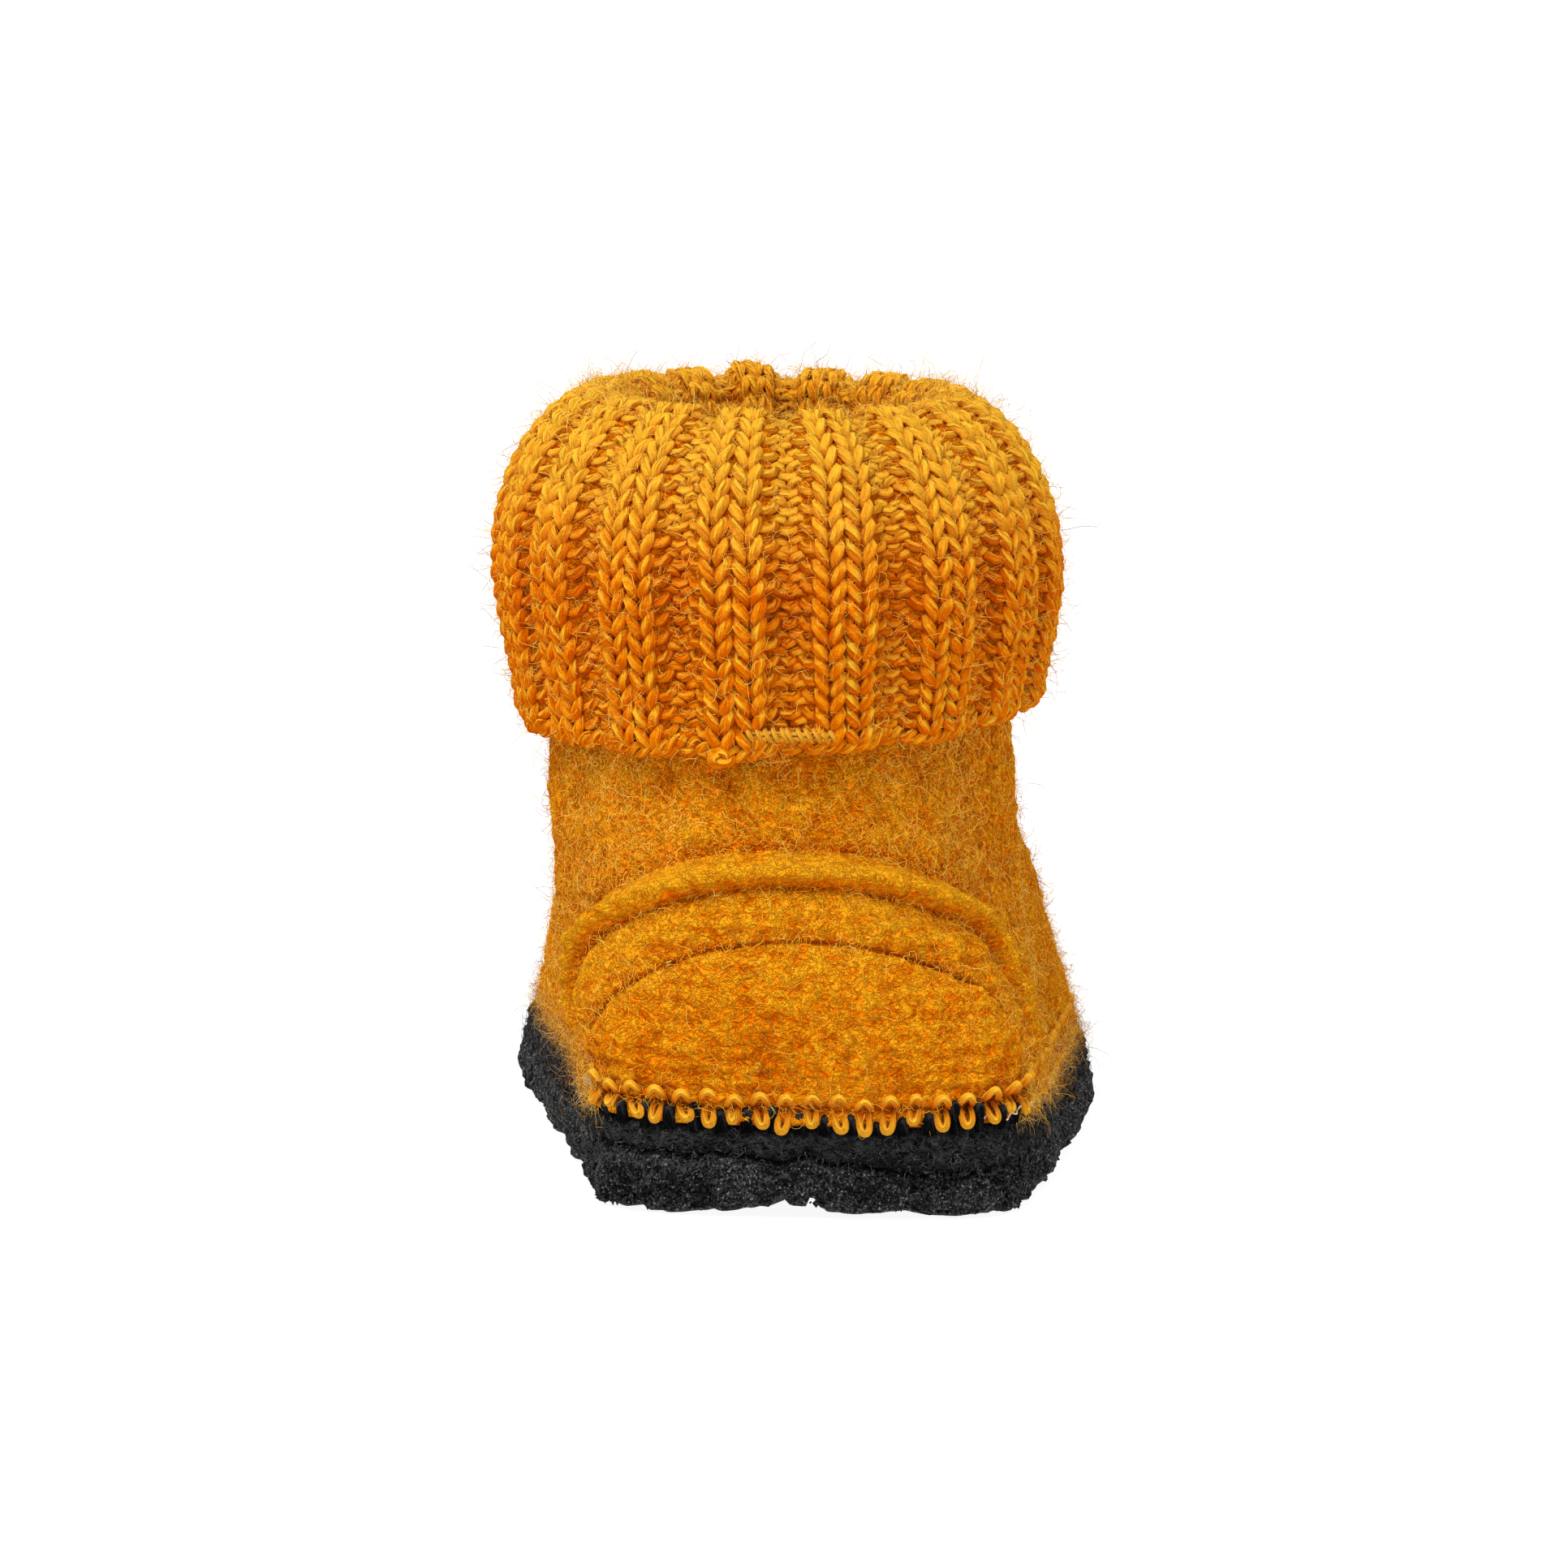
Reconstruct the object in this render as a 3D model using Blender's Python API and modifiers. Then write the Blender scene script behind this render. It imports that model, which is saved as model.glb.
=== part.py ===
"""Child's felted wool slipper boot for the right foot, with a ribbed cuff turned down over the ankle.

Six pieces: outsole, rand band, insole, felt upper, heel counter and ribbed cuff.
Units are metres. +Y points to the toe, +X to the outer (lateral) side and +Z up.
The shoe is laid out from the back of its heel, and the root empty centres it over the floor.
"""

import math

import bmesh
import bpy
import numpy as np

# Main sizes
SOLE_LENGTH = 0.162
SOLE_THICKNESS = 0.0066
TOE_SPRING = 0.0040
TOE_SPRING_START = 0.74
WALL = 0.0030
GAP = 0.0003

# Sole outline: share of the length, inner half width, outer half width
SOLE_OUTLINE = (
    (0.000, 0.0000, 0.0000),
    (0.006, 0.0155, 0.0155),
    (0.020, 0.0224, 0.0224),
    (0.045, 0.0265, 0.0262),
    (0.100, 0.0282, 0.0284),
    (0.200, 0.0299, 0.0316),
    (0.280, 0.0315, 0.0332),
    (0.400, 0.0346, 0.0358),
    (0.520, 0.0377, 0.0380),
    (0.620, 0.0395, 0.0383),
    (0.720, 0.0402, 0.0368),
    (0.840, 0.0366, 0.0314),
    (0.930, 0.0280, 0.0210),
    (0.980, 0.0165, 0.0078),
    (1.000, 0.0045, -0.0045),
)

# Side of the outsole: inset from the outline, height
SOLE_SIDE = (
    (0.0018, 0.0000),
    (0.0005, 0.0007),
    (0.0000, 0.0022),
    (0.0001, 0.0047),
    (0.0008, 0.0060),
    (0.0026, SOLE_THICKNESS),
)
# Rings across its underside and its top, as shares of the way in to the middle line
SOLE_SPREAD = (0.15, 0.35, 0.60, 1.0)
SOLE_TOP_SPREAD = (0.5, 1.0)
NOTCH_DEPTH = 0.0012
NOTCH_PITCHES = (0.0170, 0.0110)
NOTCH_LEVEL = 0.60
SPINE_BACK = 0.024
SPINE_FRONT = 0.128

# Foot of the upper: share of the length, inset from the sole outline, height of the rand band's top
UPPER_FOOT = (
    (0.00, 0.0006, 0.0113),
    (0.05, 0.0002, 0.0121),
    (0.15, 0.0000, 0.0122),
    (0.35, 0.0010, 0.0120),
    (0.60, 0.0022, 0.0107),
    (0.80, 0.0024, 0.0102),
    (1.00, 0.0020, 0.0106),
)
BAND_THICKNESS = 0.0036
BAND_FOOT_INSET = 0.0010
BAND_TOP_FALL = 0.0009
BAND_FOOT_ROUNDING = 0.0006
BAND_TOP_ROUNDING = 0.0003
BAND_BELLY = 0.0006
INSOLE_INSET = 0.0056
INSOLE_THICKNESS = 0.0030
# Section of the insole: share of the way in to the middle line, share of its thickness
INSOLE_SECTION = (
    (1.00, 0.0),
    (0.50, 0.0),
    (0.02, 0.0),
    (0.00, 0.5),
    (0.04, 1.0),
    (0.50, 1.0),
    (1.00, 1.0),
)

# Collar, an oval where the felt ends and the cuff begins
COLLAR_X = -0.0052
COLLAR_Y = 0.0410
COLLAR_HALF_WIDTH = 0.0296
COLLAR_DEPTH_EXTRA = 0.0080
COLLAR_HEIGHT = 0.0740

# Wall of the upper from band to collar, on three lines. Columns: share of the way in to the
# collar and share of the height at the heel, the same at the side and at the toe, then how far
# the back of the heel and the ankle swell out.
WALL_LEVELS = (
    (0.00, 0.000, 0.00, 0.000, 0.000, 0.000, 0.0000, 0.0000),
    (0.18, 0.095, 0.06, 0.105, -0.010, 0.125, 0.0008, 0.0002),
    (0.44, 0.200, 0.16, 0.200, 0.012, 0.213, 0.0018, 0.0004),
    (0.70, 0.310, 0.25, 0.296, 0.080, 0.286, 0.0024, 0.0005),
    (0.90, 0.425, 0.32, 0.384, 0.230, 0.357, 0.0022, 0.0005),
    (0.98, 0.540, 0.44, 0.467, 0.440, 0.424, 0.0012, 0.0006),
    (1.00, 0.655, 0.66, 0.550, 0.680, 0.500, 0.0004, 0.0008),
    (1.00, 0.775, 0.84, 0.652, 0.880, 0.595, 0.0000, 0.0004),
    (1.00, 0.890, 0.96, 0.804, 0.985, 0.757, 0.0000, 0.0000),
    (1.00, 1.000, 1.00, 1.000, 1.000, 1.000, 0.0000, 0.0000),
)
# Shares of the length over which one line passes into the next and each swelling fades out
HEEL_TO_SIDE = (0.05, 0.55)
SIDE_TO_TOE = (0.50, 1.00)
HEEL_SWELL_FADE = (0.01, 0.12)
ANKLE_SWELL_FADE = (0.30, 0.60)
UPPER_COLUMNS = 72
HEEL_CROWDING = 0.28
UPPER_ROWS = 13

# Heel counter: half its reach round the heel, its height, and the relief from its edge inwards
COUNTER_REACH = 0.0440
COUNTER_SHIFT = 0.0020
COUNTER_HEIGHT = 0.0342
COUNTER_COLUMNS = 33
COUNTER_SEAT = 0.00055
COUNTER_END = 0.5
# Columns: distance in from the edge, height of the outer face over the upper
COUNTER_RELIEF = (
    (0.0000, 0.0012),
    (0.0014, 0.0024),
    (0.0036, 0.0008),
    (0.0054, 0.0014),
    (0.0084, 0.0015),
    (0.0105, 0.0008),
    (0.0128, 0.0019),
    (0.0168, 0.0022),
    (0.0212, 0.0020),
    (0.0256, 0.0018),
    (0.0296, 0.0014),
    (0.0336, 0.0013),
)

# Ribbed cuff: half width and height of the middle of its wall, from the collar up and over to the hem
CUFF_X = -0.0054
CUFF_LEAN = -0.03
CUFF_WALL = 0.0024
CUFF_PROFILE = (
    (0.0281, 0.0000),
    (0.0278, 0.0060),
    (0.0230, 0.0120),
    (0.0199, 0.0174),
    (0.0194, 0.0222),
    (0.0205, 0.0259),
    (0.0232, 0.0273),
    (0.0268, 0.0258),
    (0.0312, 0.0216),
    (0.0340, 0.0165),
    (0.0356, 0.0109),
    (0.0360, 0.0048),
    (0.0353, -0.0010),
    (0.0340, -0.0085),
    (0.0331, -0.0152),
)
RIBS = 17
WALES_PER_RIB = 4
RIB_SHIFT = 0.4
RIB_RISE = 0.00060
HEM_FRONT_RISE = 0.0040
HEM_FRONT_SPAN = (0.30, 1.00)
HEM_SIDE_RISE = 0.0010
RIM_FRONT_RISE = 0.0004

# Colours as linear red, green and blue, then roughness
ORANGE_FELT = (0.68, 0.27, 0.015, 0.95)
ORANGE_KNIT = (0.72, 0.30, 0.020, 0.90)
CHARCOAL_FELT = (0.022, 0.023, 0.026, 0.95)
CHARCOAL_SOLE = (0.016, 0.016, 0.018, 0.90)
GREY_FELT = (0.070, 0.070, 0.075, 0.95)


def smooth_curve(knots, values, at):
    """Cubic curve through values at the knots, with each slope taken from the neighbouring knots."""
    knots = np.asarray(knots, float)
    values = np.asarray(values, float)
    slopes = np.gradient(values, knots)
    at = np.clip(np.asarray(at, float), knots[0], knots[-1])
    left = np.clip(np.searchsorted(knots, at, side="right") - 1, 0, len(knots) - 2)
    span = knots[left + 1] - knots[left]
    t = (at - knots[left]) / span
    rise = values[left + 1] - values[left]
    bend = slopes[left] * span
    end_bend = slopes[left + 1] * span
    return values[left] + t * (bend + t * (3 * rise - 2 * bend - end_bend + t * (bend + end_bend - 2 * rise)))


def smooth_step(start, end, at):
    t = np.clip((np.asarray(at, float) - start) / (end - start), 0.0, 1.0)
    return t * t * (3 - 2 * t)


def column(table, index):
    return [row[index] for row in table]


def angles(count):
    """Angles round the shoe, closer at the heel: 0 at its back, then the outer side, then the toe."""
    even = np.arange(count) * 2 * math.pi / count
    return even - HEEL_CROWDING * np.sin(even)


def along(angle):
    """Share of the sole's length at each angle."""
    return (1 - np.cos(angle)) / 2


def outline(angle):
    """Sole outline as x and y at each angle."""
    turn = np.mod(angle, 2 * math.pi)
    outer = turn <= math.pi
    half_turn = np.where(outer, turn, 2 * math.pi - turn)
    knots = np.arccos(1 - 2 * np.array(column(SOLE_OUTLINE, 0)))
    inner_x = -smooth_curve(knots, column(SOLE_OUTLINE, 1), half_turn)
    outer_x = smooth_curve(knots, column(SOLE_OUTLINE, 2), half_turn)
    return np.stack([np.where(outer, outer_x, inner_x), SOLE_LENGTH * along(turn)], axis=-1)


def inset_outline(angle, inset):
    """Sole outline moved inwards by inset, square to itself."""
    step = 0.01
    ahead = outline(angle + step) - outline(angle - step)
    inward = np.stack([-ahead[..., 1], ahead[..., 0]], axis=-1)
    inward /= np.linalg.norm(inward, axis=-1, keepdims=True)
    return outline(angle) + inward * np.asarray(inset)[..., None]


def toe_lift(y):
    """Height that the toe spring adds at y."""
    ahead = np.clip((np.asarray(y) / SOLE_LENGTH - TOE_SPRING_START) / (1 - TOE_SPRING_START), 0, 1)
    return TOE_SPRING * ahead ** 2


def band_top(angle):
    share = along(angle)
    return smooth_curve(column(UPPER_FOOT, 0), column(UPPER_FOOT, 2), share) + toe_lift(share * SOLE_LENGTH)


def upper_foot(angle):
    inset = smooth_curve(column(UPPER_FOOT, 0), column(UPPER_FOOT, 1), along(angle))
    return inset_outline(angle, inset)


def collar(foot):
    """Collar point above each foot point, on the same ray from the middle of the collar's oval."""
    reach = np.array([COLLAR_HALF_WIDTH, COLLAR_HALF_WIDTH + COLLAR_DEPTH_EXTRA])
    ray = (foot - np.array([0.0, COLLAR_Y])) / reach
    ray /= np.linalg.norm(ray, axis=-1, keepdims=True)
    return np.array([COLLAR_X, COLLAR_Y]) + ray * reach


def level_value(level, share, heel, side, toe):
    """One column of the wall table at a level, mixed from heel to side to toe by share of the length."""
    rows = np.arange(len(WALL_LEVELS)) / (len(WALL_LEVELS) - 1)
    at_heel, at_side, at_toe = (smooth_curve(rows, column(WALL_LEVELS, k), level) for k in (heel, side, toe))
    to_side = smooth_step(*HEEL_TO_SIDE, share)
    to_toe = smooth_step(*SIDE_TO_TOE, share)
    return at_heel + (at_side - at_heel) * to_side + (at_toe - at_side) * to_toe


def upper_face(angle, level):
    """Outer face of the felt upper: level 0 is the top of the rand band and 1 the collar."""
    angle, level = np.broadcast_arrays(np.asarray(angle, float), np.asarray(level, float))
    share = along(angle)
    inwards = level_value(level, share, 0, 2, 4)[..., None]
    rise = level_value(level, share, 1, 3, 5)
    foot = upper_foot(angle)
    rows = np.arange(len(WALL_LEVELS)) / (len(WALL_LEVELS) - 1)
    heel_swell = smooth_curve(rows, column(WALL_LEVELS, 6), level)
    heel_swell *= 1 - smooth_step(*HEEL_SWELL_FADE, share)
    ankle_swell = smooth_curve(rows, column(WALL_LEVELS, 7), level)
    ankle_swell *= 1 - smooth_step(*ANKLE_SWELL_FADE, share)
    outward = outline(angle) - inset_outline(angle, np.full(angle.shape, WALL))
    outward /= np.linalg.norm(outward, axis=-1, keepdims=True)
    flat = foot + (collar(foot) - foot) * inwards + outward * (heel_swell + ankle_swell)[..., None]
    start = band_top(angle) + GAP
    height = start + (COLLAR_HEIGHT - start) * rise
    return np.concatenate([flat, height[..., None]], axis=-1)


def upper_normal(angle, level):
    """Unit normal of the upper's outer face, pointing out."""
    step = 0.004
    round_it = upper_face(angle + step, level) - upper_face(angle - step, level)
    low, high = np.clip(level - step, 0, 1), np.clip(level + step, 0, 1)
    up_it = upper_face(angle, high) - upper_face(angle, low)
    normal = np.cross(round_it, up_it)
    return normal / np.linalg.norm(normal, axis=-1, keepdims=True)


def level_at_height(angle, height):
    """Level of the upper at each angle where its face has the given height."""
    levels = np.linspace(0, 1, 60)
    found = []
    for one_angle, one_height in zip(angle, height):
        found.append(np.interp(one_height, upper_face(one_angle, levels)[:, 2], levels))
    return np.array(found)


def material(name, look):
    made = bpy.data.materials.new(name)
    made.use_nodes = True
    shader = made.node_tree.nodes["Principled BSDF"]
    shader.inputs["Base Color"].default_value = (*look[:3], 1.0)
    shader.inputs["Roughness"].default_value = look[3]
    shader.inputs["Metallic"].default_value = 0.0
    return made


def grid_faces(mesh, rows, closed):
    """Adds a grid of quads through rows of points and returns its rows of vertices."""
    verts = [[mesh.verts.new(point) for point in row] for row in rows]
    count = len(rows[0])
    for lower, upper in zip(verts, verts[1:]):
        for i in range(count if closed else count - 1):
            j = (i + 1) % count
            mesh.faces.new((lower[i], lower[j], upper[j], upper[i]))
    return verts


def bridge(mesh, first, second):
    """Adds quads between two chains of vertices of the same length."""
    for i in range(len(first) - 1):
        mesh.faces.new((first[i], first[i + 1], second[i + 1], second[i]))


def finish(name, mesh, look, parent):
    """Makes a smooth-shaded object of the mesh, with its faces turned outwards."""
    bmesh.ops.remove_doubles(mesh, verts=mesh.verts, dist=1e-6)
    bmesh.ops.recalc_face_normals(mesh, faces=mesh.faces)
    data = bpy.data.meshes.new(name)
    mesh.to_mesh(data)
    mesh.free()
    data.shade_smooth()
    data.materials.append(material(name, look))
    made = bpy.data.objects.new(name, data)
    parent.users_collection[0].objects.link(made)
    made.parent = parent
    return made


def thicken(made, thickness, offset):
    """Solidify: offset -1 builds the wall inwards and 0 to both sides of the surface."""
    solid = made.modifiers.new("wall", "SOLIDIFY")
    solid.thickness = thickness
    solid.offset = offset
    solid.use_even_offset = True
    return made


def ring(flat, height):
    """Points of a ring from its x and y and a height for each or for all."""
    heights = np.broadcast_to(np.asarray(height, float), flat.shape[:-1])
    return np.concatenate([flat, heights[..., None]], axis=-1)


def spine(flat):
    """Middle line of the foot, which inner rings of a flat piece close on."""
    mirrored = flat[-np.arange(len(flat)) % len(flat)]
    middle = (flat + mirrored) / 2
    middle[:, 1] = np.clip(middle[:, 1], SPINE_BACK, SPINE_FRONT)
    return middle


def towards_spine(flat, share):
    return flat + (spine(flat) - flat) * share


def notch_height(flat):
    """Height of the notches along the lower edge, which two waves of unlike pitch make uneven."""
    steps = np.linalg.norm(np.diff(flat, axis=0, append=flat[:1]), axis=1)
    length = np.cumsum(steps) - steps
    wave = sum(np.cos(2 * math.pi * length / pitch) for pitch in NOTCH_PITCHES) / len(NOTCH_PITCHES)
    return NOTCH_DEPTH * np.clip((wave - NOTCH_LEVEL) / (1 - NOTCH_LEVEL), 0, 1)


def make_outsole(parent):
    """Felt outsole: flat underneath, notched along its lower edge, with rounded sides and a raised toe."""
    angle = angles(UPPER_COLUMNS)
    rows = []
    floor_edge = inset_outline(angle, np.full(angle.shape, SOLE_SIDE[0][0]))
    for share in reversed(SOLE_SPREAD):
        flat = towards_spine(floor_edge, share)
        rows.append(ring(flat, toe_lift(flat[:, 1])))
    notch = notch_height(floor_edge)
    for inset, height in SOLE_SIDE:
        flat = inset_outline(angle, np.full(angle.shape, inset))
        fade = np.clip(1 - height / SOLE_SIDE[2][1], 0, 1)
        rows.append(ring(flat, height + notch * fade + toe_lift(flat[:, 1])))
    top_edge = rows[-1][:, :2]
    for share in SOLE_TOP_SPREAD:
        flat = towards_spine(top_edge, share)
        rows.append(ring(flat, SOLE_THICKNESS + toe_lift(flat[:, 1])))
    mesh = bmesh.new()
    grid_faces(mesh, rows, closed=True)
    return finish("outsole", mesh, CHARCOAL_SOLE, parent)


def make_rand_band(parent):
    """Charcoal band between outsole and felt: a closed ring with four corners and a soft outer face."""
    angle = angles(UPPER_COLUMNS)
    low_inset = np.full(angle.shape, BAND_FOOT_INSET)
    top_inset = smooth_curve(column(UPPER_FOOT, 0), column(UPPER_FOOT, 1), along(angle))
    foot = SOLE_THICKNESS + GAP + toe_lift(SOLE_LENGTH * along(angle))
    top = band_top(angle)
    middle = (foot + top) / 2
    belly = (low_inset + top_inset) / 2 - BAND_BELLY
    rows = [
        ring(inset_outline(angle, low_inset + BAND_THICKNESS), foot),
        ring(inset_outline(angle, low_inset + BAND_FOOT_ROUNDING), foot),
        ring(inset_outline(angle, belly), middle),
        ring(inset_outline(angle, top_inset + BAND_TOP_ROUNDING), top),
        ring(inset_outline(angle, top_inset + WALL), top - BAND_TOP_FALL),
    ]
    mesh = bmesh.new()
    grid_faces(mesh, rows + rows[:1], closed=True)
    return finish("rand_band", mesh, CHARCOAL_FELT, parent)


def make_insole(parent):
    """Felt insole lying on the outsole, inside the foot of the upper."""
    angle = angles(UPPER_COLUMNS)
    edge = inset_outline(angle, np.full(angle.shape, INSOLE_INSET))
    foot = SOLE_THICKNESS + GAP
    rows = []
    for share, rise in INSOLE_SECTION:
        flat = towards_spine(edge, share)
        rows.append(ring(flat, foot + INSOLE_THICKNESS * rise + toe_lift(flat[:, 1])))
    mesh = bmesh.new()
    grid_faces(mesh, rows, closed=True)
    return finish("insole", mesh, GREY_FELT, parent)


def make_upper(parent):
    """Felt shell, open at the collar and underneath."""
    angle = angles(UPPER_COLUMNS)
    rows = [upper_face(angle, level) for level in np.linspace(0, 1, UPPER_ROWS)]
    mesh = bmesh.new()
    grid_faces(mesh, rows, closed=True)
    return thicken(finish("upper", mesh, ORANGE_FELT, parent), WALL, -1)


def heel_angle(reach):
    """Angle at each distance round the heel from its back, measured along the foot of the upper."""
    angle = np.linspace(-math.pi / 2, math.pi / 2, 361)
    flat = upper_foot(angle)
    steps = np.linalg.norm(np.diff(flat, axis=0), axis=1)
    length = np.concatenate([[0], np.cumsum(steps)])
    length -= np.interp(0, angle, length)
    return np.interp(reach, length, angle)


def make_heel_counter(parent):
    """Arched patch over the heel, cut from the upper's own face, with a raised edge and two sewn grooves."""
    turn = np.linspace(0, math.pi, COUNTER_COLUMNS)
    outer, inner = [], []
    for inset, rise in COUNTER_RELIEF:
        angle = heel_angle(COUNTER_SHIFT + (COUNTER_REACH - inset) * np.cos(turn))
        height = band_top(angle) + 2 * GAP + (COUNTER_HEIGHT - inset) * np.sin(turn)
        level = level_at_height(angle, height)
        face = upper_face(angle, level)
        normal = upper_normal(angle, level)
        taper = COUNTER_END + (1 - COUNTER_END) * np.sin(turn)
        thickness = (rise - COUNTER_SEAT) * taper
        outer.append(face + normal * (COUNTER_SEAT + thickness)[:, None])
        inner.append(face + normal * COUNTER_SEAT)
    mesh = bmesh.new()
    outer_verts = grid_faces(mesh, outer, closed=False)
    inner_verts = grid_faces(mesh, inner, closed=False)
    bridge(mesh, outer_verts[0], inner_verts[0])
    bridge(mesh, outer_verts[-1], inner_verts[-1])
    for side in (0, -1):
        bridge(mesh, [row[side] for row in outer_verts], [row[side] for row in inner_verts])
    return finish("heel_counter", mesh, ORANGE_FELT, parent)


def even_angles(count, half_width, half_depth, shift):
    """Angles that split an oval into equal lengths, each shift shares past the middle of its own, from the back."""
    fine = np.linspace(0, 2 * math.pi, 1441)
    points = np.stack([half_width * np.sin(fine), half_depth * np.cos(fine)], axis=-1)
    length = np.concatenate([[0], np.cumsum(np.linalg.norm(np.diff(points, axis=0), axis=1))])
    middles = (np.arange(count) + 0.5 + shift) * length[-1] / count
    return np.interp(middles, length, fine)


def make_cuff(parent):
    """Ribbed tube linked to the collar, folded over and hanging down outside. Two wales in four stand out."""
    wales = RIBS * WALES_PER_RIB
    widest = max(column(CUFF_PROFILE, 0))
    highest = max(column(CUFF_PROFILE, 1))
    turn = even_angles(wales, widest, widest + COLLAR_DEPTH_EXTRA, RIB_SHIFT)
    rib = np.where(np.isin(np.arange(wales) % WALES_PER_RIB, (1, 2)), 1.0, -1.0)
    profile = np.array(CUFF_PROFILE)
    ahead = np.gradient(profile, axis=0)
    outward = np.stack([-ahead[:, 1], ahead[:, 0]], axis=-1)
    outward /= np.linalg.norm(outward, axis=-1, keepdims=True)
    base = COLLAR_HEIGHT + GAP
    rows = []
    for (half_width, height), (sideways, upwards) in zip(profile, outward):
        free = 0.0 if height == 0 else 1.0
        reach = half_width + free * sideways * RIB_RISE * rib
        x = CUFF_X + CUFF_LEAN * height + reach * np.sin(turn)
        y = COLLAR_Y - (reach + COLLAR_DEPTH_EXTRA) * np.cos(turn)
        hem_share = min(height, 0.0) / CUFF_PROFILE[-1][1]
        rim_share = max(height, 0.0) / highest
        hem_rise = HEM_FRONT_RISE * smooth_step(*HEM_FRONT_SPAN, along(turn))
        hem_rise += HEM_SIDE_RISE * (1 + np.sin(turn)) ** 2
        rim_rise = RIM_FRONT_RISE * along(turn)
        rise = hem_rise * hem_share + rim_rise * rim_share
        z = base + height + rise + free * upwards * RIB_RISE * rib
        rows.append(np.stack([x, y, z], axis=-1))
    mesh = bmesh.new()
    grid_faces(mesh, rows, closed=True)
    return thicken(finish("cuff", mesh, ORANGE_KNIT, parent), CUFF_WALL, 0)


def clear_scene():
    for old in list(bpy.data.objects):
        bpy.data.objects.remove(old)


def centre_over_floor(root, pieces):
    """Moves the root so that the middle of the shoe's box is over the origin, with its sole at height 0."""
    graph = bpy.context.evaluated_depsgraph_get()
    graph.update()
    corners = []
    for piece in pieces:
        evaluated = piece.evaluated_get(graph)
        corners += [evaluated.matrix_world @ vertex.co for vertex in evaluated.data.vertices]
    points = np.array(corners)
    low, high = points.min(axis=0), points.max(axis=0)
    root.location = (-(low[0] + high[0]) / 2, -(low[1] + high[1]) / 2, -low[2])


def main():
    clear_scene()
    shoe = bpy.data.collections.new("wool_slipper")
    bpy.context.scene.collection.children.link(shoe)
    root = bpy.data.objects.new("shoe_root", None)
    shoe.objects.link(root)
    makers = (make_outsole, make_rand_band, make_insole, make_upper, make_heel_counter, make_cuff)
    pieces = [make(root) for make in makers]
    centre_over_floor(root, pieces)


main()
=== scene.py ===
"""Looks of the wool slipper boot: knitted cuff, felted upper, loop row, charcoal band and crumbly sole.

Units are metres. Shapes are laid out from the back of the heel, with the toe at +Y and the outer side at +X,
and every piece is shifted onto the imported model.
"""

import math

import bpy
import numpy as np
from mathutils import Euler, Matrix, Vector


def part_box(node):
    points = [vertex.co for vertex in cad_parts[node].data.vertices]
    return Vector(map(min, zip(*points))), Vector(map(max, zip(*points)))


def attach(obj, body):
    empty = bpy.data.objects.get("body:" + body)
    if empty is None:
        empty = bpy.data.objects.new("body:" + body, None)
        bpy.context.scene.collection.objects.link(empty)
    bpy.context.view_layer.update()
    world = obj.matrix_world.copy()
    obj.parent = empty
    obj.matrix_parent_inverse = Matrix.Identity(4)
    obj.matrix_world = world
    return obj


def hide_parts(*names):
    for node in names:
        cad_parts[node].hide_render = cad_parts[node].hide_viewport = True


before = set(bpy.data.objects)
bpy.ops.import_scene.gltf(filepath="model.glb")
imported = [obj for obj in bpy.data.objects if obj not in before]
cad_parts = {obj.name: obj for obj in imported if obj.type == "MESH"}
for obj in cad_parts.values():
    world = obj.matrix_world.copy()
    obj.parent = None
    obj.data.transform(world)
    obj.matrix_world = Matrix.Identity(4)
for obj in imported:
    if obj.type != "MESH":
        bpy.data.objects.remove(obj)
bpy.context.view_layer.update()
DRAW = np.random.default_rng(24)
FULL_TURN = 2 * math.pi
# Steps in a full turn where lengths round the shoe are measured
FINE = 2880

# Sizes of the shoe
SOLE_LENGTH = 0.162
SOLE_THICKNESS = 0.0066
TOE_SPRING = 0.0040
TOE_SPRING_START = 0.74
WALL = 0.0030
GAP = 0.0003

# Sole outline: share of the length, inner half width, outer half width
SOLE_OUTLINE = (
    (0.000, 0.0000, 0.0000),
    (0.006, 0.0155, 0.0155),
    (0.020, 0.0224, 0.0224),
    (0.045, 0.0265, 0.0262),
    (0.100, 0.0282, 0.0284),
    (0.200, 0.0299, 0.0316),
    (0.280, 0.0315, 0.0332),
    (0.400, 0.0346, 0.0358),
    (0.520, 0.0377, 0.0380),
    (0.620, 0.0395, 0.0383),
    (0.720, 0.0402, 0.0368),
    (0.840, 0.0366, 0.0314),
    (0.930, 0.0280, 0.0210),
    (0.980, 0.0165, 0.0078),
    (1.000, 0.0045, -0.0045),
)

# Foot of the upper: share of the length, inset from the sole outline, height of the band's top
UPPER_FOOT = (
    (0.00, 0.0006, 0.0113),
    (0.05, 0.0002, 0.0121),
    (0.15, 0.0000, 0.0122),
    (0.35, 0.0010, 0.0120),
    (0.60, 0.0022, 0.0107),
    (0.80, 0.0024, 0.0102),
    (1.00, 0.0020, 0.0106),
)

# Collar, an oval where the felt ends and the cuff begins
COLLAR_X = -0.0052
COLLAR_Y = 0.0410
COLLAR_HALF_WIDTH = 0.0296
COLLAR_DEPTH_EXTRA = 0.0080
COLLAR_HEIGHT = 0.0740

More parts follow.
